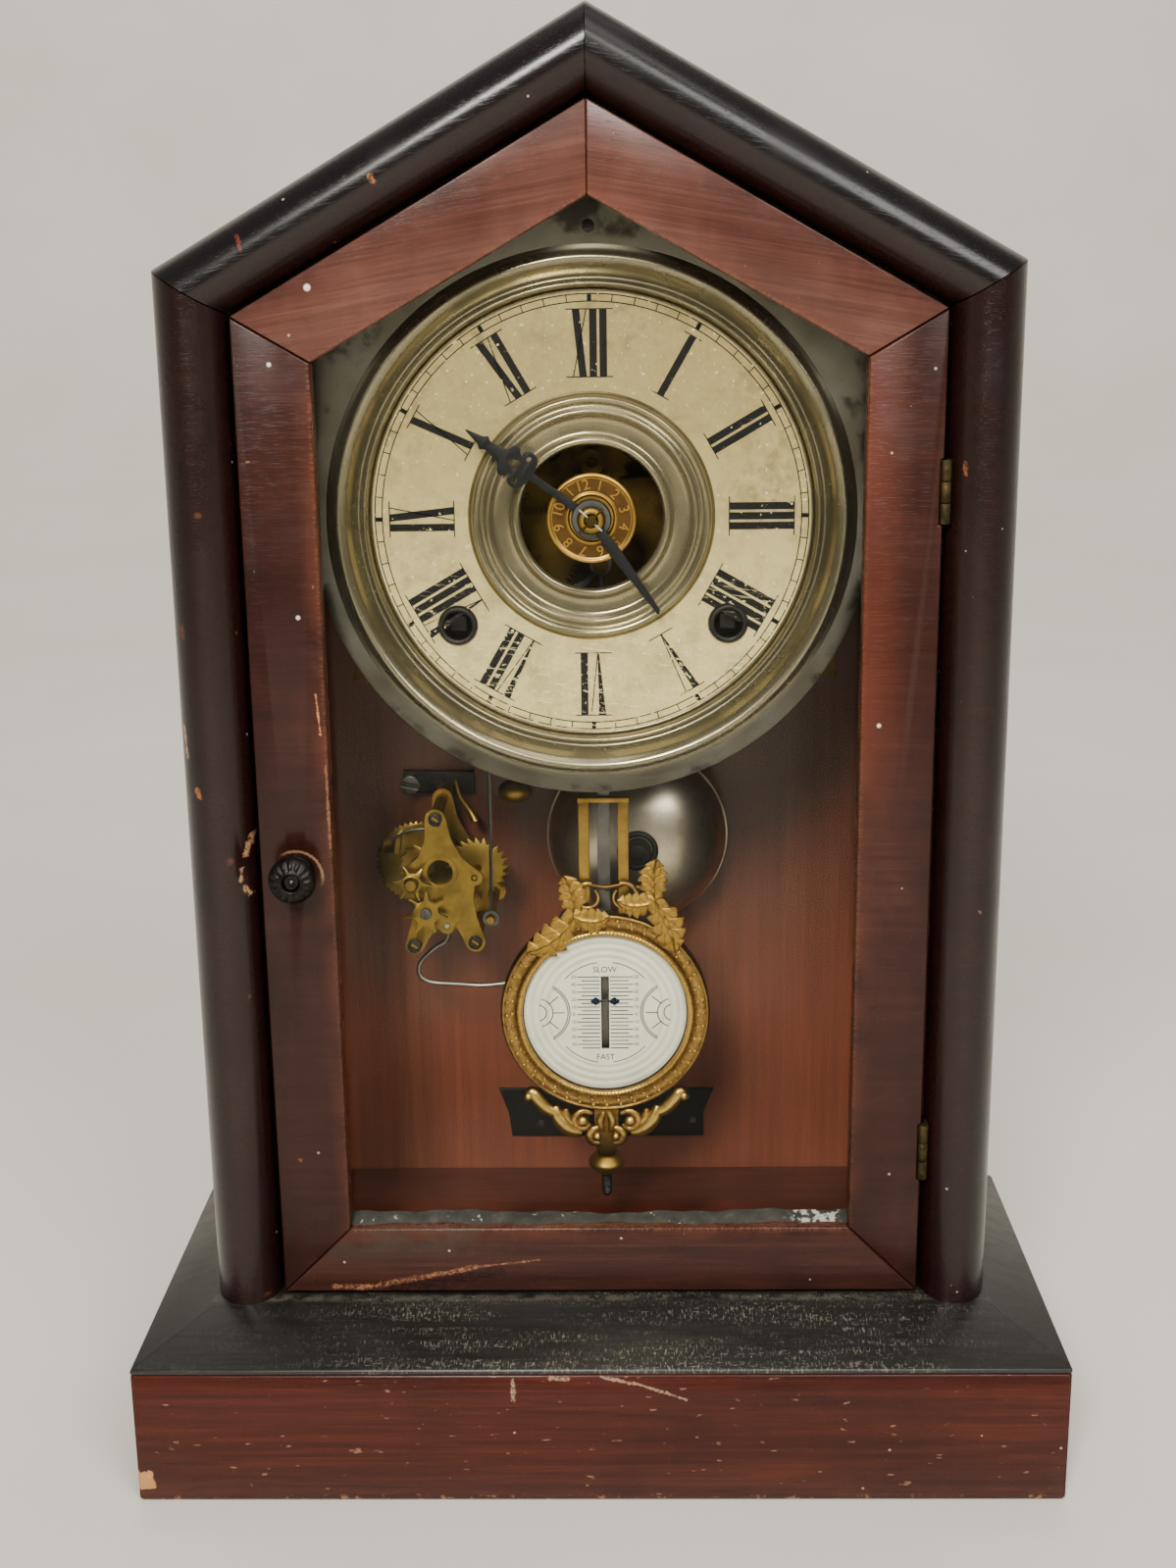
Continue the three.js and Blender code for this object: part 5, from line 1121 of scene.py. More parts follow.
minute_low, minute_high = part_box("minute_hand")
minute_front = minute_low.y / MM + 0.5
taper = [(1.1, 3), (1.6, 8), (1.7, 11.5), (1.2, 20), (0.75, 31.8), (0.4, 32.2), (-0.6, 31.3), (-1.2, 20),
         (-1.7, 11.5), (-1.6, 8), (-1.1, 3)]
hand("minute_hand", "centre", [taper], minute_front, minute_high.y / MM,
     ((1.9, -0.4), (3.6, -0.4), (3.9, -0.1)), 144)
collet_line = raised(minute_front, (1.7, -0.5), (2.1, -1.3), (3.1, -1.2), (3.6, -0.6), (3.6, -0.41))
add("brass_collet", lathe(flowing(collet_line, 3), (0, dial_z), 48), brass, "centre")
arbor_turn, arbor_half, pin_y = 0.5, 1.25, minute_front - 1.15
square = [(x * math.cos(arbor_turn) - z * math.sin(arbor_turn),
           dial_z + x * math.sin(arbor_turn) + z * math.cos(arbor_turn))
          for x, z in oblong(-arbor_half, arbor_half, -arbor_half, arbor_half)]
bright_steel = metal("bright_steel", "b9b7b2", "7d7a75", "3b3835", 0.22, 0.3)
arbor_end = plate([square], minute_front - 1.5, minute_front - 0.2, 0.2)
pin = tube([(-3.3, pin_y, dial_z + 3.1), (2.9, pin_y, dial_z - 2.8)], 0.35, 8)
add("arbor_end", joined(arbor_end, pin), bright_steel, "centre")
print("two hands and the collet")

# %% [markdown]
# ## The pendulum
# A flat steel rod hangs from a thin spring. The bob slides on it and is held by a nut on the rod's threaded
# end. The pointer on the rod shows through the bob's scale how far it has been moved. The flat pieces are cut
# as plates. The thread could be a true helix, but rings turned in one profile look the same at this size, and
# a turned shape is closed without further work.

# %% Rod, pointer and thread
bob_low, bob_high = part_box("bob_glass")
bob_x, bob_z = (bob_low.x + bob_high.x) / 2 / MM, (bob_low.z + bob_high.z) / 2 / MM
rod_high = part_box("pendulum_rod")[1]
rod_face, rod_rear, rod_half = 3.2, 4.4, 1.9
rod_middle = (rod_face + rod_rear) / 2
bob_face = rod_face - 2.6
hang = rod_high.z / MM - 3.2


def on_bob(points):
    """Points of (x, z) measured from the middle of the bob."""
    return [(bob_x + x, bob_z + z) for x, z in points]


def bob_circle(radius):
    """A circle about the middle of the bob."""
    return arc(radius, centre=(bob_x, bob_z), steps=96)


bar_line = oblong(bob_x - rod_half, bob_x + rod_half, bob_z - 37, hang - 20)
bar = plate([bar_line], rod_face, rod_rear, 0.2)
spring_line = oblong(bob_x - 0.25, bob_x + 0.25, hang - 22, hang - 2.2)
spring = plate([spring_line], rod_face, rod_rear)
loop = plate([arc(3.2, centre=(bob_x, hang), steps=40), arc(1.95, centre=(bob_x, hang), steps=32)],
             rod_face - 0.2, rod_rear + 0.9, 0.15)
pitch_step, thread_foot, thread_top = 0.8, 65, bob_z - 36.6
thread_line = [(0, thread_foot), (0.9, thread_foot)]
for i in range(int((thread_top - thread_foot - 1.2) / pitch_step)):
    level = thread_foot + (i + 1) * pitch_step
    thread_line += [(1.3, level), (1.7, level + pitch_step / 2)]
thread_line += [(1.5, thread_top), (0, thread_top)]
thread = lathe(thread_line, (bob_x, rod_middle), 24, True, 80)
add("rod_thread", thread, dark_steel, "pendulum")
pointer_y, pointer_z = bob_face - 0.9, bob_z + 4
stem_line = [(0, pointer_y), (0.8, pointer_y), (0.8, rod_face + 0.3), (0, rod_face + 0.3)]
pointer_stem = lathe(stem_line, (bob_x, pointer_z), 16)
add("pendulum_rod_steel", joined(bar, spring, loop, pointer_stem), steel, "pendulum",
    ["pendulum_rod"])
spade = flowing([(1.4, 0), (2.1, 0.75), (2.9, 1.25), (3.6, 0.7), (4.5, 0), (3.6, -0.7), (2.9, -1.25),
                 (2.1, -0.75)], 3, True)
outlines = [[(side * x, z) for x, z in spade] for side in both] + [oblong(-1.5, 1.5, -0.25, 0.25)]
pointers = []
for outline in outlines:
    corners = [(bob_x + x, pointer_z + z) for x, z in outline]
    pointers.append(plate([corners], pointer_y, pointer_y + 0.4, 0.05))
pointer_blue = metal("pointer_blue", "1a2848", "0f1626", "0a0c12", 0.35, 0.3, 0.5)
add("scale_pointer", joined(*pointers), pointer_blue, "pendulum")
print("rod of", round(hang - thread_foot), "mm")

# %% [markdown]
# ## The bob
# The bob is a stamped brass ring round a printed scale under a domed glass. Its milled bezel and its pairs of
# beads repeat round the ring, so the recipe places them. Leaves with toothed edges and veins sit above, and
# scrolled acanthus hangs below. A leaf could be sculpted, but a grid bent along its spine, with its teeth,
# midrib and veins as formulas, gives each leaf its own length and bow. The scrolls are wires whose thickness
# changes on the way.

# %% Bob ring
def stamped_gilt():
    """Gilding that is rubbed bright where it stands forward and dark in the hollows of the stamping."""
    gold = Finish("stamped_gilt")
    grime = gold.noise(0.5, 4, 0.6)
    grain = gold.cells(1.1)
    forward = gold.y.steps(bob_face + 0.6, bob_face - 2.2)
    worn = forward + (grime - 0.5) * 0.5 - grain * 0.16
    colour = gold.ramp(worn, (0.15, "38260f"), (0.5, "6d5124"), (0.72, "a07e45"), (0.92, "cdab5c"))
    return gold.surface(Base_Color=colour, Metallic=0.95, Roughness=0.36 - forward * 0.1 + grime * 0.08,
                        Normal=gold.bump(grain * -0.6 + grime * 0.4, 0.35, 0.12))


lip = 25.2
front_line = flowing(raised(bob_face, (lip, -1.2), (lip + 0.3, -1.9), (lip + 1, -2.2), (lip + 1.7, -1.8),
                            (lip + 2.1, -0.9), (27.8, -1.0), (29.3, -1.35), (30.7, -1.1), (31.1, -1.4),
                            (31.7, -1.1), (32, -0.3)), 4)
rear_line = raised(bob_face, (32, 3.6), (28, 6), (26.5, 6), (26.5, 5), (30.6, 3), (30.6, 1.3), (lip, 1.3))
ring = lathe(front_line + rear_line + front_line[:1], (bob_x, bob_z), 144, angle=50)
slot_half, slot_reach = 1.25, 11.8
slot = on_bob(oblong(-slot_half, slot_half, -slot_reach, slot_reach))
face_plate = plate([bob_circle(26), slot], bob_face + 0.3, bob_face + 1.3)
rear_plate = plate([bob_circle(27.5)], bob_face + 5, bob_face + 6)
ridge_points = [(x, y, 0) for x, y in oblong(-0.9, 0.9, -0.22, 0.22)] + [(-0.5, 0, 0.42), (0.5, 0, 0.42)]
ridge_faces = [[3, 2, 1, 0], [0, 1, 5, 4], [1, 2, 5], [2, 3, 4, 5], [3, 0, 4]]
ridge = mesh_from(ridge_points, ridge_faces, 10)
milling = ring_of(ridge, 150, lip + 1.05, gilt, bob_x, bob_face - 2.02, bob_z)


def bead(x, y, radius, height):
    """A small dome for the recipe, raised towards +Z."""
    points = [(x, y, height)]
    for share, rise in ((0.55, 0.8), (1, 0)):
        reach = radius * share
        points += [(x + reach * px, y + reach * py, height * rise) for px, py in arc(1, steps=8)]
    faces = [[0, 1 + i, 1 + (i + 1) % 8] for i in range(8)]
    faces += [[1 + i, 9 + i, 9 + (i + 1) % 8, 1 + (i + 1) % 8] for i in range(8)]
    faces.append(list(range(9, 17))[::-1])
    return mesh_from(points, faces, 80)


pair = joined(bead(0.75, 0.3, 0.7, 0.75), bead(-0.75, -0.3, 0.66, 0.7),
              bead(0.1, 1.5, 0.34, 0.4))
beads = ring_of(pair, 44, 29.3, gilt, bob_x, bob_face - 1.2, bob_z)
print("bezel of 150 ridges and 44 pairs of beads")

# %% Bob leaves
def leaf(stem_at, tip, half, bow=0.12, teeth=5, lift=0.0):
    """A stamped leaf from stem to tip with a toothed edge, a midrib and side veins."""
    start, end = Vector(stem_at), Vector(tip)
    along = end - start
    side = Vector((-along.y, along.x)).normalized()
    rows, columns = 50, 12
    points = []
    for i in range(rows + 1):
        t = i / rows
        spine = start + along * t + side * bow * along.length * 4 * t * (1 - t)
        body = math.sin(math.pi * (0.1 + 0.9 * t)) ** 0.75
        notch = 1 - 0.45 * ((teeth * t) % 1) ** 1.3
        reach = 0.25 + half * body * notch
        for k in range(-columns, columns + 1):
            s = k / columns
            lean = along.normalized() * (0.25 * half * (abs(s) - 0.3))
            where = spine + side * (reach * s) + lean * body
            rib = math.exp(-(s / 0.08) ** 2) * 0.35
            vein = 0.05 * math.cos(TAU * teeth * (t - 0.16 * abs(s)))
            crown = 0.55 * (1 - s * s) + rib + vein * (1 - abs(s) ** 3)
            points.append((bob_x + where.x, bob_face - 1.5 - lift - crown, bob_z + where.y))
    width = 2 * columns + 1
    faces = [[i * width + k, i * width + k + 1, (i + 1) * width + k + 1, (i + 1) * width + k]
             for i in range(rows) for k in range(width - 1)]
    mesh = bpy.data.meshes.new("leaf")
    mesh.from_pydata([Vector(point) * MM for point in points], [], faces)
    across = mesh.uv_layers.new(name="leaf")
    for corner in mesh.loops:
        row, column = divmod(corner.vertex_index, width)
        across.data[corner.index].uv = (row / rows, column / columns - 1)
    holder = bpy.data.objects.new("leaf", mesh)
    wall = holder.modifiers.new("wall", "SOLIDIFY")
    wall.thickness, wall.offset = 0.35 * MM, 0
    return smoothed(plain(holder), 60, recalculate=False)


def leaf_gilt():
    """Gilding with engraved side veins and painted shade at the edges: the leaf's own UV runs from stem to
    tip and from edge to edge.
    """
    gold = Finish("leaf_gilt")
    at = gold.node("ShaderNodeUVMap", {"uv_map": "leaf"})
    along, across = (gold.node("ShaderNodeSeparateXYZ", {}, {0: at}, axis) for axis in range(2))
    away = across.maths("ABSOLUTE")
    veins = ((along - away * 0.25) * (TAU * 6)).maths("SINE").steps(0.72, 0.98)
    midrib = away.steps(0.16, 0.08)
    grime = gold.noise(0.5, 4, 0.6)
    pounced = gold.noise(2.2, 2, 0.5).steps(0.5, 0.62)
    # Painted shade darkens the leaf towards its edges; veins, grime and pouncing darken it too.
    dark = veins * 0.3 + away.steps(0.8, 1) * 0.35 + grime.steps(0.45, 0.75) * 0.35 + pounced * 0.2
    colour = gold.blend(dark * (1 - midrib), "b28d42", "3d2b10")
    return gold.surface(Base_Color=colour, Metallic=0.95, Roughness=0.3 + grime * 0.1,
                        Normal=gold.bump(midrib - veins * 0.5 - pounced * 0.4, 0.5, 0.12))


sprays = [((-9.1, 32), ((-12.1, 44.5), 4.3, -0.1), ((-23.8, 20.3), 5.2, 0.1), ((1.5, 31.6), 4.2, -0.14)),
          ((15.2, 36.7), ((15.8, 49.4), 4.4, 0.06), ((4.0, 36.6), 4.0, 0.14), ((21.4, 20), 5.2, 0.05))]
leaves = [leaf(stem_at, tip, half, bow, lift=0.3 * i)
          for stem_at, *tips in sprays for i, (tip, half, bow) in enumerate(tips)]
print(len(leaves), "leaves")

# %% Bob scrolls and acanthus
def swirl(x, z, radius, end_radius, start, turn):
    """A wire curled inward round a point, from a radius to a smaller one, through a turn in degrees."""
    line, steps = [], 36
    for i in range(steps + 1):
        t = i / steps
        reach, angle = radius + (end_radius - radius) * t, math.radians(start + turn * t)
        line.append((bob_x + x + reach * math.cos(angle), bob_face - 0.6 - 0.6 * t,
                     bob_z + z + reach * math.sin(angle)))
    return tube(line, 0.75, 8, lambda t: 1.1 - 0.45 * t)


def sweep(points, wire, low=1, high=1):
    """A bar through points of (x, z) that swells from low at its ends to high in its middle."""
    line = flowing([(x, bob_face - 0.2, z) for x, z in on_bob(points)], 6)
    return tube(line, wire, 8, lambda t: low + (high - low) * math.sin(math.pi * t))


def boss(x, z, radius):
    """A low round boss between the scrolls."""
    line = raised(bob_face, (0, -1.4 - radius * 0.4), (radius * 0.6, -1.1 - radius * 0.3), (radius, -0.2),
                  (radius * 0.9, 1.4), (0, 1.4))
    return lathe(line, (bob_x + x, bob_z + z), 24, angle=70)


trim = [swirl(-4.9, 37.6, 4.2, 3.0, 75, 330), swirl(6.0, 37.6, 4.2, 3.0, 105, -330),
        sweep([(-6, 41.6), (-2, 40.7), (0.5, 40.4), (3, 40.7), (7, 41.6)], 0.75),
        sweep([(-8.6, 40.2), (-10.4, 36), (-9.6, 32.5)], 0.8),
        sweep([(9.6, 40.6), (12.4, 39.4), (14.8, 37)], 0.8)]
# One half of the acanthus: the thickness of each bar, its swell, and the points that it runs through.
acanthus = [
    (1.9, 0.7, 1.2, ((24.5, -26.6), (22.8, -26), (21.2, -28.2), (18.5, -31.2), (15.4, -33.2), (12.4, -36.8))),
    (2.1, 0.6, 1.25, ((16, -30.5), (14.6, -34.6), (11.4, -38.2), (7.6, -39.6))),
    (1.4, 0.7, 1.2, ((12.6, -31.4), (12.0, -35), (9.6, -38))),
    (1.2, 0.8, 1.2, ((4.4, -33.2), (7.2, -32.4), (9.6, -34), (9.6, -37), (7, -38.3), (5.0, -36.6))),
    (1.2, 0.7, 1.3, ((1.2, -38), (3.6, -38.2), (5.2, -40), (4.4, -42.6), (2, -43.2))),
    (1.2, 0.8, 1.2, ((0.6, -32.6), (1.9, -35.5), (1.3, -39.4)))]
bosses = [(7.4, -35.7, 2.3), (2.9, -40.8, 1.8), (24, -27.3, 1.9)]
for side in both:
    trim += [sweep([(side * x, z) for x, z in points], *shape) for *shape, points in acanthus]
    trim += [boss(side * x, z, radius) for x, z, radius in bosses]
channel = 2.0
drop_side = [(4, -28), (3.4, -44), (2.4, -47.4)]
trim.append(plate([on_bob(mirrored(drop_side))], bob_face - 0.9, rod_middle - channel, 0.3))
for side in both:
    cheek = on_bob((side * x, z) for x, z in [(channel, -28), *drop_side, (channel, -47.4)])
    trim.append(plate([cheek], rod_middle - channel, bob_face + 5.4, 0.1))
strips = [plate([on_bob(oblong(x - 1.6, x + 1.6, 20, 67))], bob_face + 0.8, bob_face + 2.2, 0.25)
          for x in (-5.9, 5.9)]
top_bar = plate([on_bob(oblong(-7.7, 7.7, 66.4, 68))], bob_face + 0.5, bob_face + 2.2, 0.25)
add("bob_gilding", joined(ring, face_plate, rear_plate, milling, beads, *trim),
    stamped_gilt(), "bob", ["bob_body"])
add("bob_leaves", joined(*leaves), leaf_gilt(), "bob")
add("bob_strips", joined(*strips, top_bar), brass, "bob")
print(len(trim), "scrolls and bosses")

# %% Scale card
def card_finish():
    """White card, greyed with age and greyer towards its edge, with embossed rings round the scale and
    painted shade in their troughs.
    """
    card = Finish("scale_card")
    age = card.noise(0.12, 4).steps(0.4, 0.75)
    out = card.from_axis(bob_x, bob_z)
    outer = out.steps(16.6, 17.6)
    rings = (out * (TAU / 2.3)).maths("SINE") * outer
    # Painted shade in the troughs of the embossed rings.
    grey = age * 0.25 + out.steps(20, 25) * 0.2 + rings.steps(0.2, -0.9) * outer * 0.3
    return card.surface(Base_Color=card.blend(grey, "f6f6ec", "b9b8ac"), Roughness=0.45,
                        Normal=card.bump(rings, 0.5, 0.3))


card = plate([bob_circle(24.9), slot], bob_face, bob_face + 0.3)
add("scale_card", card, card_finish(), "bob")
print_ink = Finish("print_ink")
print_colour = print_ink.blend(print_ink.noise(1.5, 2).steps(0.4, 0.8), "141416", "3a3937")
print_black = print_ink.surface(Base_Color=print_colour, Roughness=0.6)


def rule(points, width=0.3):
    """A printed line through points of (x, z) on the card."""
    corners = [Vector(corner) for corner in on_bob(points)]
    left, right = [], []
    for i, corner in enumerate(corners):
        along = (corners[min(i + 1, len(corners) - 1)] - corners[max(i - 1, 0)]).normalized()
        side = Vector((-along.y, along.x)) * width / 2
        left.append(tuple(corner + side))
        right.append(tuple(corner - side))
    return plate([left + right[::-1]], bob_face - 0.05, bob_face + 0.02)


def printed(text, size, x, z):
    """Printed letters centred on a point of the card."""
    return moved(lettering(text, size, 0.06), bob_x + x, bob_face - 0.02, bob_z + z)


printing = []
for i in range(20):
    level, reach = 11.6 - i * 1.22, 7.2 if i % 2 else 8.6
    for side in both:
        printing.append(rule([(side * 1.6, level), (side * reach, level)]))
        if i % 2 == 0:
            printing.append(printed(str(abs(50 - 5 * i)), 1.5, side * 9.6, level))
printing += [printed("SLOW", 2.6, 0, 13.9), printed("FAST", 2.6, 0, -14.6)]
for side in both:
    fan_x, inward = side * 20.6, 180 if side > 0 else 0
    for radius, spread in ((9.8, 62), (9.2, 60), (4.6, 75), (2.6, 80)):
        printing.append(rule(arc(radius, inward - spread, inward + spread, (fan_x, 0), 30)))
    for turn in (-40, 0, 40):
        angle = math.radians(inward + turn)
        printing.append(rule([(fan_x + r * math.cos(angle), r * math.sin(angle)) for r in (4.6, 8.2)]))
    for half in both:
        printing.append(rule(arc(16.4, half * (90 - side * 8), half * (90 - side * 48), (0, 0), 24), 0.25))
add("scale_printing", joined(*printing), print_black, "bob")
print(len(printing), "printed marks")

# %% Bob glass and nut
edge_y, rise, dome_reach, steps = bob_face - 0.35, 3.9, 24.9, 24
dome = [(dome_reach * i / steps, edge_y - rise * (1 - (i / steps) ** 2) ** 0.8) for i in range(steps + 1)]
inside = [(r, y + 0.9) if r < 24 else (r, y + 0.3) for r, y in dome[::-1]]
add("bob_dome", lathe(dome + inside, (bob_x, bob_z), 96, angle=60), dome_glass, "bob",
    ["bob_glass"])
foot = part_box("rating_nut")[0].z / MM
nut_line = flowing(raised(foot, (2, 0), (3.2, 0.1), (4.4, 1), (5.5, 2.3), (5.8, 3.25), (5.5, 4.2), (4.4, 5.5),
                          (3.2, 6.4), (2, 6.5)), 4)
nut = lathe(nut_line + [(2, foot)], (bob_x, rod_middle), 72, True, 50)
add("rating_nut_turned", nut, brass, "nut", ["rating_nut"])
print("dome and nut turned")

# %% [markdown]
# ## Bell and strike hammer
# The strike rings a domed bell on a post from the back board. A dome shows every facet in its reflection, so
# it is turned again with a fine profile and a slightly thickened rim.

# %% Bell and hammer
bell_low, bell_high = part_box("bell")
bell_x, bell_z = (bell_low.x + bell_high.x) / 2 / MM, (bell_low.z + bell_high.z) / 2 / MM
crown_y, rim_y = bell_low.y / MM, bell_high.y / MM
depth, bell_reach, bore, steps = rim_y - crown_y, 28.7, 2.2, 20
bell_line = []
for i in range(steps):
    turn = math.pi / 2 * i / steps
    bell_line.append((max(bore, bell_reach * math.sin(turn)), rim_y - depth * math.cos(turn)))
bell_line += raised(rim_y, (28.8, -1.6), (29, -0.8), (bell_reach, 0))
bell_inside = [(max(bore, r - 1.3), y + (1.2 if r < 24 else 0)) for r, y in bell_line[::-1]]
bell = lathe(bell_line + bell_inside + bell_line[:1], (bell_x, bell_z), 128, angle=50)
add("bell_dome", bell, bell_metal, "case", ["bell"])
post = raised(crown_y, (0, -2.6), (1.9, -2.6), (2.6, -2.2), (2.7, -1.5), (4.2, -1.4), (4.5, -1.1),
              (4.5, -0.4), (1.9, -0.3), (1.9, 1.5), (3.6, 1.5), (3.6, 3.5), (2, 3.5))
post += raised(board_face, (2, -3), (6.6, -3), (7, -2.6), (7, 0), (0, 0))
add("bell_post_turned", lathe(post, (bell_x, bell_z), 64), dark_steel, "case",
    ["bell_post"])
ripple = flowing(raised(crown_y, (4.6, 0.15), (5.2, -0.25), (6, 0), (6.5, 0.4)), 4)
add("bell_washer", lathe(ripple, (bell_x, bell_z), 64), dark_steel, "case")


def arbor(front, rear, tip, pivot):
    """A turned arbor along Y with a thinner tip at each end."""
    line = [(0, front), (0.8, front), (0.8, front + tip), (1.4, front + tip),
            (1.4, rear - tip), (0.8, rear - tip), (0.8, rear), (0, rear)]
    return lathe(line, pivot, 24)


hammer_y, hammer_pivot, head_x, head_z = 38, (-14, 238), -26, 188
shank_line = [(x, hammer_y, z) for x, z in (hammer_pivot, (-17.6, 223), (head_x, head_z))]
shank = tube(flowing(shank_line, 8), 0.8, 8)
head = lathe(ball_line(5.5, 4.4, hammer_y, 16), (head_x, 0), 40, angle=80)
head.transform(Matrix.Scale(0.73, 4, (0, 0, 1)))
head.transform(Matrix.Translation((0, 0, head_z * MM)))
hammer = joined(arbor(9.5, 44.5, 1.8, hammer_pivot), shank, head)
add("strike_hammer_round", hammer, brass, "hammer", ["strike_hammer"])
print("bell", round((bell_high.x - bell_low.x) / MM), "mm across")

# %% [markdown]
# ## The alarm movement
# The little alarm movement is open to view, so its brass plate, wheels and stop-work keep their CAD shape
# with softened edges. Slotted screws hold it, all copies of one head placed by a recipe.

# %% Alarm wheels
for name, body in (("alarm_front_plate", "case"), ("alarm_great_wheel", "alarm_great"),
                   ("alarm_escape_wheel", "alarm_escape"), ("alarm_winding_arbor", "alarm_winder"),
                   ("alarm_stop_star", "alarm_stop")):
    add(name + "_soft", softened(name, 0.14, 1), plate_brass, body, [name])
print("alarm plate, wheels and stop-work softened")

# %% Screws
screw_recipe = Recipe("screws", Head="Object", Finish="Material")
heads = screw_recipe.node("GeometryNodeObjectInfo", {}, {"Object": screw_recipe.given("Head")}, "Geometry")
points = screw_recipe.node("GeometryNodeMeshToPoints", {}, {0: screw_recipe.given("Geometry")})
screw_copies = screw_recipe.node("GeometryNodeInstanceOnPoints", {}, {"Points": points, "Instance": heads})
screw_recipe.ends(screw_copies)


def slotted_head(radius, rise, turn):
    """A screw head that faces -Y: two half discs with a slot between them on a plain disc."""
    half = arc(radius, 12, 168, steps=16)
    low = [(x, -z) for x, z in half]
    disc_part = plate([arc(radius, steps=32)], -rise * 0.4, 0, 0.05)
    halves = [plate([side], -rise, -rise * 0.35, 0.12 * radius) for side in (half, low)]
    return moved(joined(disc_part, *halves), turn=turn)


def set_in(name, head, places, finish, body):
    """Copies of one head at points in millimetres."""
    holder = bpy.data.objects.new("head", head)
    bpy.context.scene.collection.objects.link(holder)
    spots = bpy.data.meshes.new(name)
    spots.from_pydata([Vector(place) * MM for place in places], [], [])
    mesh = screw_recipe.make(spots, Head=holder, Finish=finish)
    bpy.data.objects.remove(holder)
    return add(name, mesh, finish, body)


def screws(name, places, radius, rise, turn, finish, body):
    """Slotted screws at points in millimetres."""
    return set_in(name, slotted_head(radius, rise, turn), places, finish, body)


print("screw recipe ready")

# %% Alarm movement
alarm_x, alarm_z = -48.7, 167.6
plate_front, bracket_front = 17, 50.7


def by_alarm(*points):
    """Points of (x, y, z) whose x and z are measured from the alarm's winding arbor."""
    return [(alarm_x + x, y, alarm_z + z) for x, y, z in points]


plate_screws = by_alarm((-1, plate_front, 17.1), (-8.7, plate_front, -23.9), (10.4, plate_front, -22.9))
screws("alarm_screws", plate_screws, 2.1, 1.3, 35, dark_steel, "case")
screws("stud_screw", by_alarm((-4.4, 12.6, -12.2)), 1.7, 0.5, 70, steel, "case")
bracket_line = oblong(alarm_x - 14.5, alarm_x + 8.6, alarm_z + 16.4, alarm_z + 23.6)
bracket = plate([bracket_line], bracket_front, board_face, 0.3)
add("alarm_bracket", bracket, dark_steel, "case")
screws("bracket_screw", by_alarm((-12, bracket_front, 19.6)), 3.2, 2.2, 10, steel, "case")
horn_line = flowing(by_alarm((3.2, 44, 22.5), (4.6, 44, 17), (7.5, 44, 12.5), (9.5, 43, 9)), 5)
add("alarm_horn", tube(horn_line, 1.5, 8, lambda t: 0.25 + 0.85 * t), brass, "case")
click_line = flowing(by_alarm((-17, 34.2, 5), (-12, 33.8, 8.5), (-6, 33.8, 9.3)), 6)
click_spring = tube(click_line, 0.45, 6)
print("alarm bracket and screws set")

# %% Alarm hammer
striker_pivot, striker_y, ball_at = (-47.1, 150), 31, (-9, 147.5)
bends = [(-48.5, 141), (-52.5, 138), (-56.5, 134.2), (-58, 131), (-57, 127.8), (-53.5, 126.2), (-45.5, 125.6),
         (-35.5, 125.2), (-24, 127.8), (-14.5, 137)]
wire_line = flowing([(x, striker_y, z) for x, z in (striker_pivot, *bends, ball_at)], 8)
wire = tube(wire_line, 0.75, 8)
ball = lathe(ball_line(3.6, 3.6, striker_y, 12), ball_at, 32, angle=80)
pale_steel = metal("pale_steel", "a19d94", "6b6862", "35322e", 0.34, 0.4)
striker_arbor = arbor(plate_front, 43.5, 1.7, striker_pivot)
pallets = []
for turn in (31.6, 88.8):
    tip = Vector((math.cos(math.radians(turn)), math.sin(math.radians(turn))))
    side = Vector((-tip.y, tip.x)) * 0.7
    corners = [Vector(striker_pivot) + tip * reach + side * sign
               for reach, sign in ((0, 1), (0, -1), (5.4, -1), (6, -0.4), (6, 0.4), (5.4, 1))]
    pallets.append(plate([[tuple(corner) for corner in corners]], 27, 28.4, 0.1))
striker = joined(wire, ball, striker_arbor, *pallets)
add("alarm_hammer_wire", striker, pale_steel, "alarm_striker", ["alarm_hammer"])
add("alarm_click_spring", click_spring, steel, "alarm_great")
bush_line = [(4, 16.9), (5.4, 16.9), (5.6, 17.1), (5.6, 18.6), (4, 18.6), (4, 16.9)]
bush = lathe(bush_line, (alarm_x, alarm_z), 64, angle=40)
add("alarm_plate_bush", bush, plate_brass, "case")
print("alarm hammer with", len(pallets), "pallets")

# %% [markdown]
# ## Door furniture
# The knob is a pressed rosette with radial flutes. They could be cut one by one, but a turned profile whose
# height also follows the angle has them all, so the lathe is given a wave. The hinges keep their CAD shape
# with softened edges.

# %% Knob
knob_low, knob_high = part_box("door_knob")
knob_x, knob_z = (knob_low.x + knob_high.x) / 2 / MM, (knob_low.z + knob_high.z) / 2 / MM
knob_front, knob_rear = knob_low.y / MM, knob_high.y / MM
flutes = 16


def fluting(radius, y, turn):
    """Shallow flutes round the front of the knob."""
    share = math.exp(-((radius - 4.9) / 1.2) ** 2) if y < knob_front + 4 else 0
    return 0.2 * share - 0.45 * share * (0.5 + 0.5 * math.cos(flutes * turn))


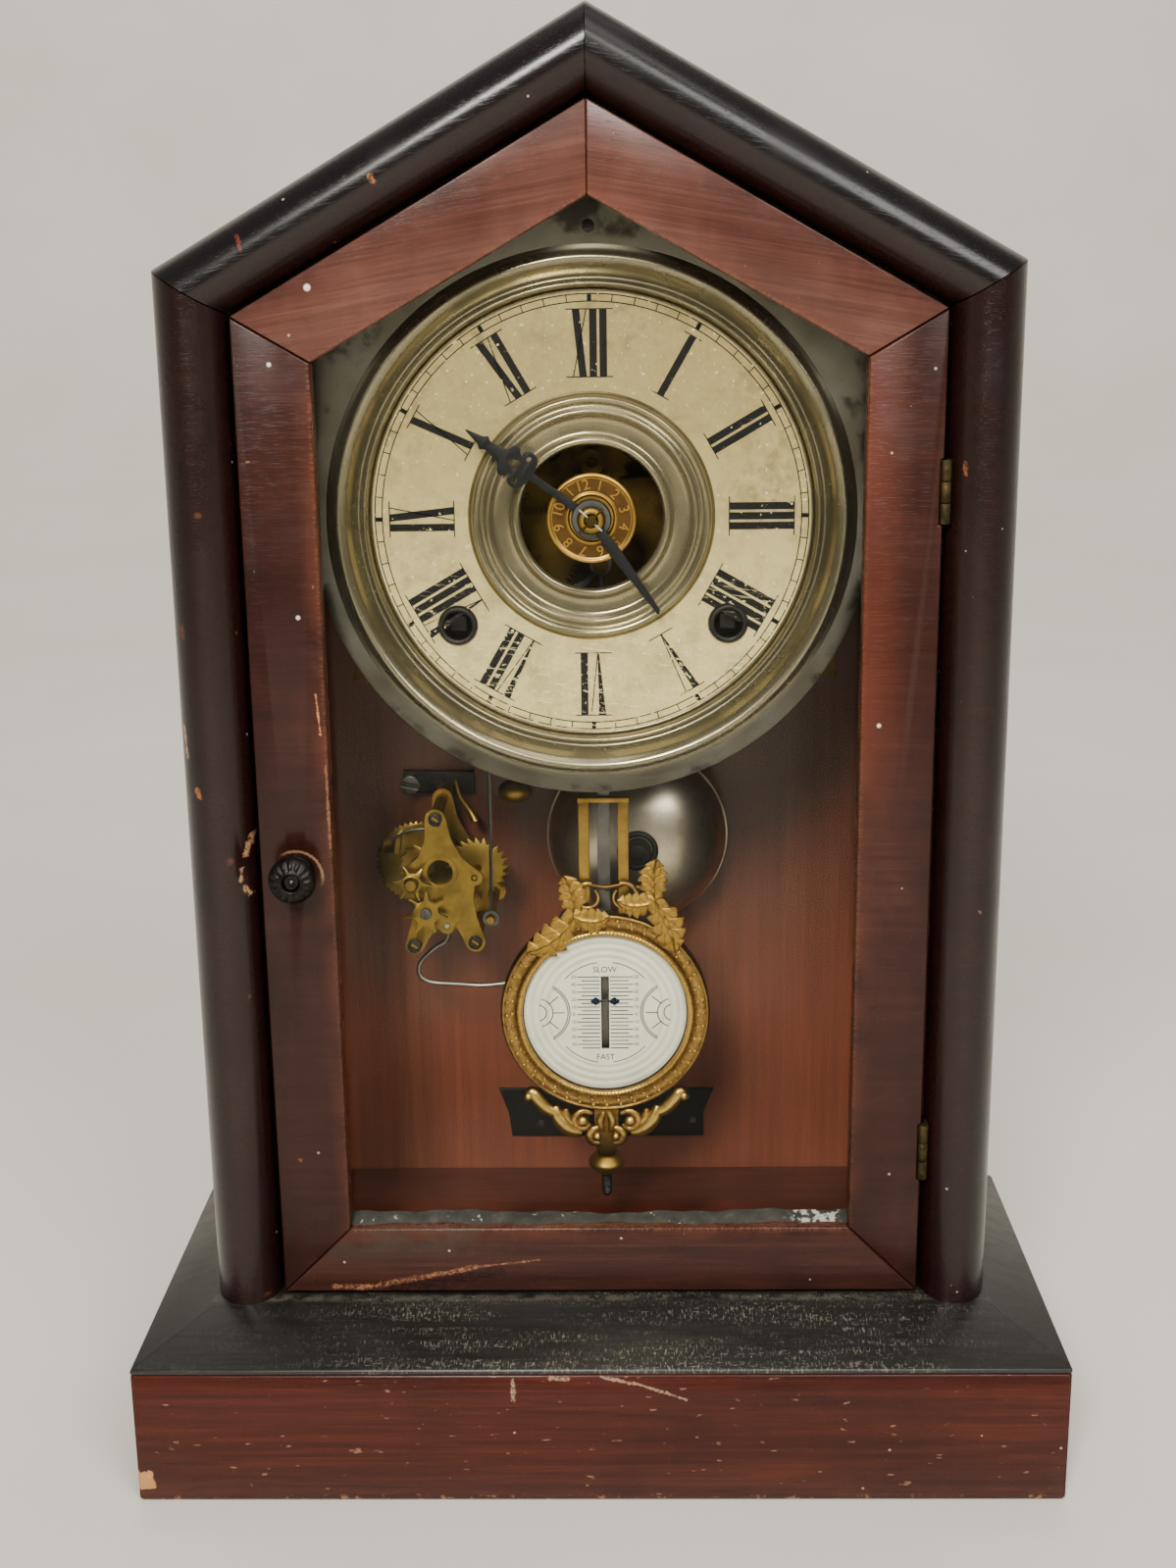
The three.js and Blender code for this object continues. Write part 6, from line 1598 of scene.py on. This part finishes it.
knob_line = flowing(raised(knob_front, (0, 2.1), (1.2, 2), (2, 1.9), (2.4, 0.7), (2.9, 0.1), (3.5, 0.5),
                           (4.4, 0.8), (5.5, 1.4), (6.3, 2.2), (6.7, 3.2), (6.4, 4.4), (4.6, 6), (3.4, 7.2),
                           (3.3, 9), (4.6, 10.2)) + raised(door_front, (5, -0.4), (5, -0.1)), 4)
knob_line += [(2, door_front - 0.1), (2, knob_rear), (0, knob_rear)]
knob = lathe(knob_line, (knob_x, knob_z), 128, angle=60, wave=fluting)
add("door_knob_rosette", knob, knob_metal, "latch", ["door_knob"])
pin_line = raised(knob_front, (0, 1.3), (0.5, 1.4), (0.8, 1.9), (0.8, 2.4), (0, 2.4))
add("knob_pin", lathe(pin_line, (knob_x, knob_z), 24, angle=70), steel, "latch")
for level in ("upper", "lower"):
    for leaf_side, body in (("case", "case"), ("door", "door")):
        name = f"hinge_{level}_{leaf_side}"
        add(name + "_soft", softened(name, 0.15, 1), hinge_brass, body, [name])
print("knob with", flutes, "flutes")

# %% [markdown]
# ## Small things
# A bare black plaque with swallow-tail ends is nailed behind the bob, a nail holds the top of the dial, small
# nails hold the back board, and a line of old putty runs along the foot of the glass. The nails are copies of
# one head, as the screws are. The putty is uneven, so its height follows a sum of waves, which is as uneven
# as noise here and simpler to write.

# %% Plaque and nails
plaque_line = [(-34.8, 79.6), (38.1, 79.4), (34.6, 70.5), (34.8, 61.9), (-30.6, 62.1), (-31.6, 70.5)]
plaque_black = metal("plaque_black", "121110", "0a0909", "3b342c", 0.4, 0.5, 0.2, 0.2)
plaque_front = 52.6
add("plaque", plate([plaque_line], plaque_front, board_face, 0.4), plaque_black, "case")
plaque_nails = [(x, plaque_front, z) for x, z in ((-20.6, 67), (31, 68), (-20, 72.4))]
screws("plaque_nails", plaque_nails, 1.1, 0.6, 20, steel, "case")
screws("dial_nail", [(0, case_front, 358)], 1.7, 0.9, 0, dark_steel, "case")
nail_half, nail_level, nail_top = eave(14)
nail_places = [(side * nail_half, board_rear, z) for side in both for z in (14, 88, 162, 236, 308)]
nail_places += [(side * nail_half * (1 - t), board_rear, nail_level + (nail_top - nail_level) * t)
                for side in both for t in (0.2, 0.55, 0.9)]
nail_line = [(0, 0.55), (0.7, 0.5), (1.3, 0.3), (1.5, 0.05), (1.5, -0.3), (0, -0.3)]
nail_head = lathe(nail_line, sides=20, angle=50)
set_in("back_nails", nail_head, nail_places, dark_steel, "case")
print(len(nail_places), "nails in the back board")

# %% Putty
glass_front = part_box("door_glass")[0].y / MM
steps, putty_points = 160, []
for i in range(steps + 1):
    t = i / steps
    height = 1.9 + 0.45 * math.sin(9 * t) + 0.3 * math.sin(31 * t + 1) + 0.2 * math.sin(83 * t)
    reach = 4.2 + 0.6 * math.sin(17 * t + 2) + 0.4 * math.sin(57 * t)
    section = ((0.05, height), (reach * 0.6, height * 0.7), (reach, 0.05), (0.05, 0.05))
    putty_points += [(opening_half * (2 * t - 1), glass_front - out, opening_foot + up)
                     for out, up in section]
putty_faces = [[4 * i + k, 4 * i + (k + 1) % 4, 4 * i + 4 + (k + 1) % 4, 4 * i + 4 + k]
               for i in range(steps) for k in range(4)]
putty_faces += [[0, 1, 2, 3], [4 * steps + k for k in (3, 2, 1, 0)]]


def old_putty():
    """Dark, dirty putty with white left where it has broken, mostly at the right."""
    putty = Finish("old_putty")
    dirt = putty.noise(0.25, 5, 0.65)
    white = putty.noise(0.35, 4).steps(0.65, 0.69) * (putty.x.steps(36, 60) * 0.6 + 0.4)
    end = (putty.x + (putty.noise(0.3, 3) - 0.5) * 16).steps(56, 61)
    fresh = end * putty.x.steps(72.5, 71) * putty.noise(0.5, 4).steps(0.44, 0.54)
    white = white.maths("MAXIMUM", fresh * 0.55)
    colour = putty.ramp(dirt, (0.3, "1d1c17"), (0.55, "302f27"), (0.75, "4b483c"))
    return putty.surface(Base_Color=putty.blend(white, colour, "d5d3c4"), Roughness=0.8,
                         Normal=putty.bump(dirt, 0.5, 0.3))


add("glass_putty", mesh_from(putty_points, putty_faces, 50), old_putty(), "door")
print("putty in", steps, "steps")

# %% [markdown]
# ## Floor and light
# A plain pale floor lies flat in front of the clock and rises into a plain wall well behind it, far enough
# off that the back of the clock can be looked at too. A lamp from the upper front gives the mouldings their
# long highlights, another washes the wall, whose light reaches the back, and a dim world fills the shadows.

# %% Stage
wall_line = [(0.01, 0), (0.8, 0), (1.5, 0), (1.9, 0.03), (2.2, 0.12), (2.45, 0.3), (2.62, 0.55), (2.72, 0.9),
             (2.78, 1.4), (2.8, 2.6)]
floor_reach = (0.01, 0.8, 1.5, 2, 2.6, 3.2, 3.9, 4.6, 5.3, 6)
turns, rows, stage_points, stage_faces = 64, len(wall_line), [], []
for step in range(turns):
    angle = TAU * step / turns
    behind = max(0.0, min(1.0, 1.15 + 1.15 * math.cos(angle)))
    behind = behind * behind * (3 - 2 * behind)
    for (wall_reach, wall_z), flat_reach in zip(wall_line, floor_reach):
        reach = behind * wall_reach + (1 - behind) * flat_reach
        stage_points.append((reach * math.sin(angle), reach * math.cos(angle), behind * wall_z))
    here, after = step * rows, (step + 1) % turns * rows
    stage_faces += [[here + k, here + k + 1, after + k + 1, after + k] for k in range(rows - 1)]
stage_faces.append([step * rows for step in range(turns)])
backdrop_mesh = bpy.data.meshes.new("backdrop")
backdrop_mesh.from_pydata(stage_points, [], stage_faces)
backdrop_mesh.shade_smooth()
pale = Finish("pale_floor")
pale_colour = pale.ramp(pale.noise(0.004, 3), (0.3, "d3cdc2"), (0.7, "dbd6cc"))
backdrop_mesh.materials.append(pale.surface(Base_Color=pale_colour, Roughness=0.75))
backdrop = bpy.data.objects.new("backdrop", backdrop_mesh)
bpy.context.scene.collection.objects.link(backdrop)
print("floor and wall made")

# %% Lamps
def lamp(name, place, aim, size, power, colour):
    """A square area lamp that looks at a point."""
    light = bpy.data.lights.new(name, "AREA")
    light.size, light.energy, light.color = size, power, colour
    holder = bpy.data.objects.new(name, light)
    holder.location = place
    holder.rotation_euler = (Vector(aim) - Vector(place)).to_track_quat("-Z", "Y").to_euler()
    bpy.context.scene.collection.objects.link(holder)


lamp("key", (-0.3, -1.35, 1.12), (0, 0, 0.2), 0.4, 31, (1, 0.96, 0.9))
lamp("fill", (0.7, -1.2, 1.15), (0, 0, 0.2), 0.7, 16, (1, 0.98, 0.94))
lamp("top", (0.15, -0.35, 1.5), (0, 0, 0.3), 0.8, 6, (1, 0.97, 0.92))
lamp("wall", (0, 0.9, 2.3), (0, 2.7, 0.5), 1.2, 45, (1, 0.98, 0.95))
world = bpy.data.worlds.new("studio")
bpy.context.scene.world = world
world.use_nodes = True
world.node_tree.nodes["Background"].inputs["Color"].default_value = (0.92, 0.92, 0.91, 1)
world.node_tree.nodes["Background"].inputs["Strength"].default_value = 0.24
print("lamps set")
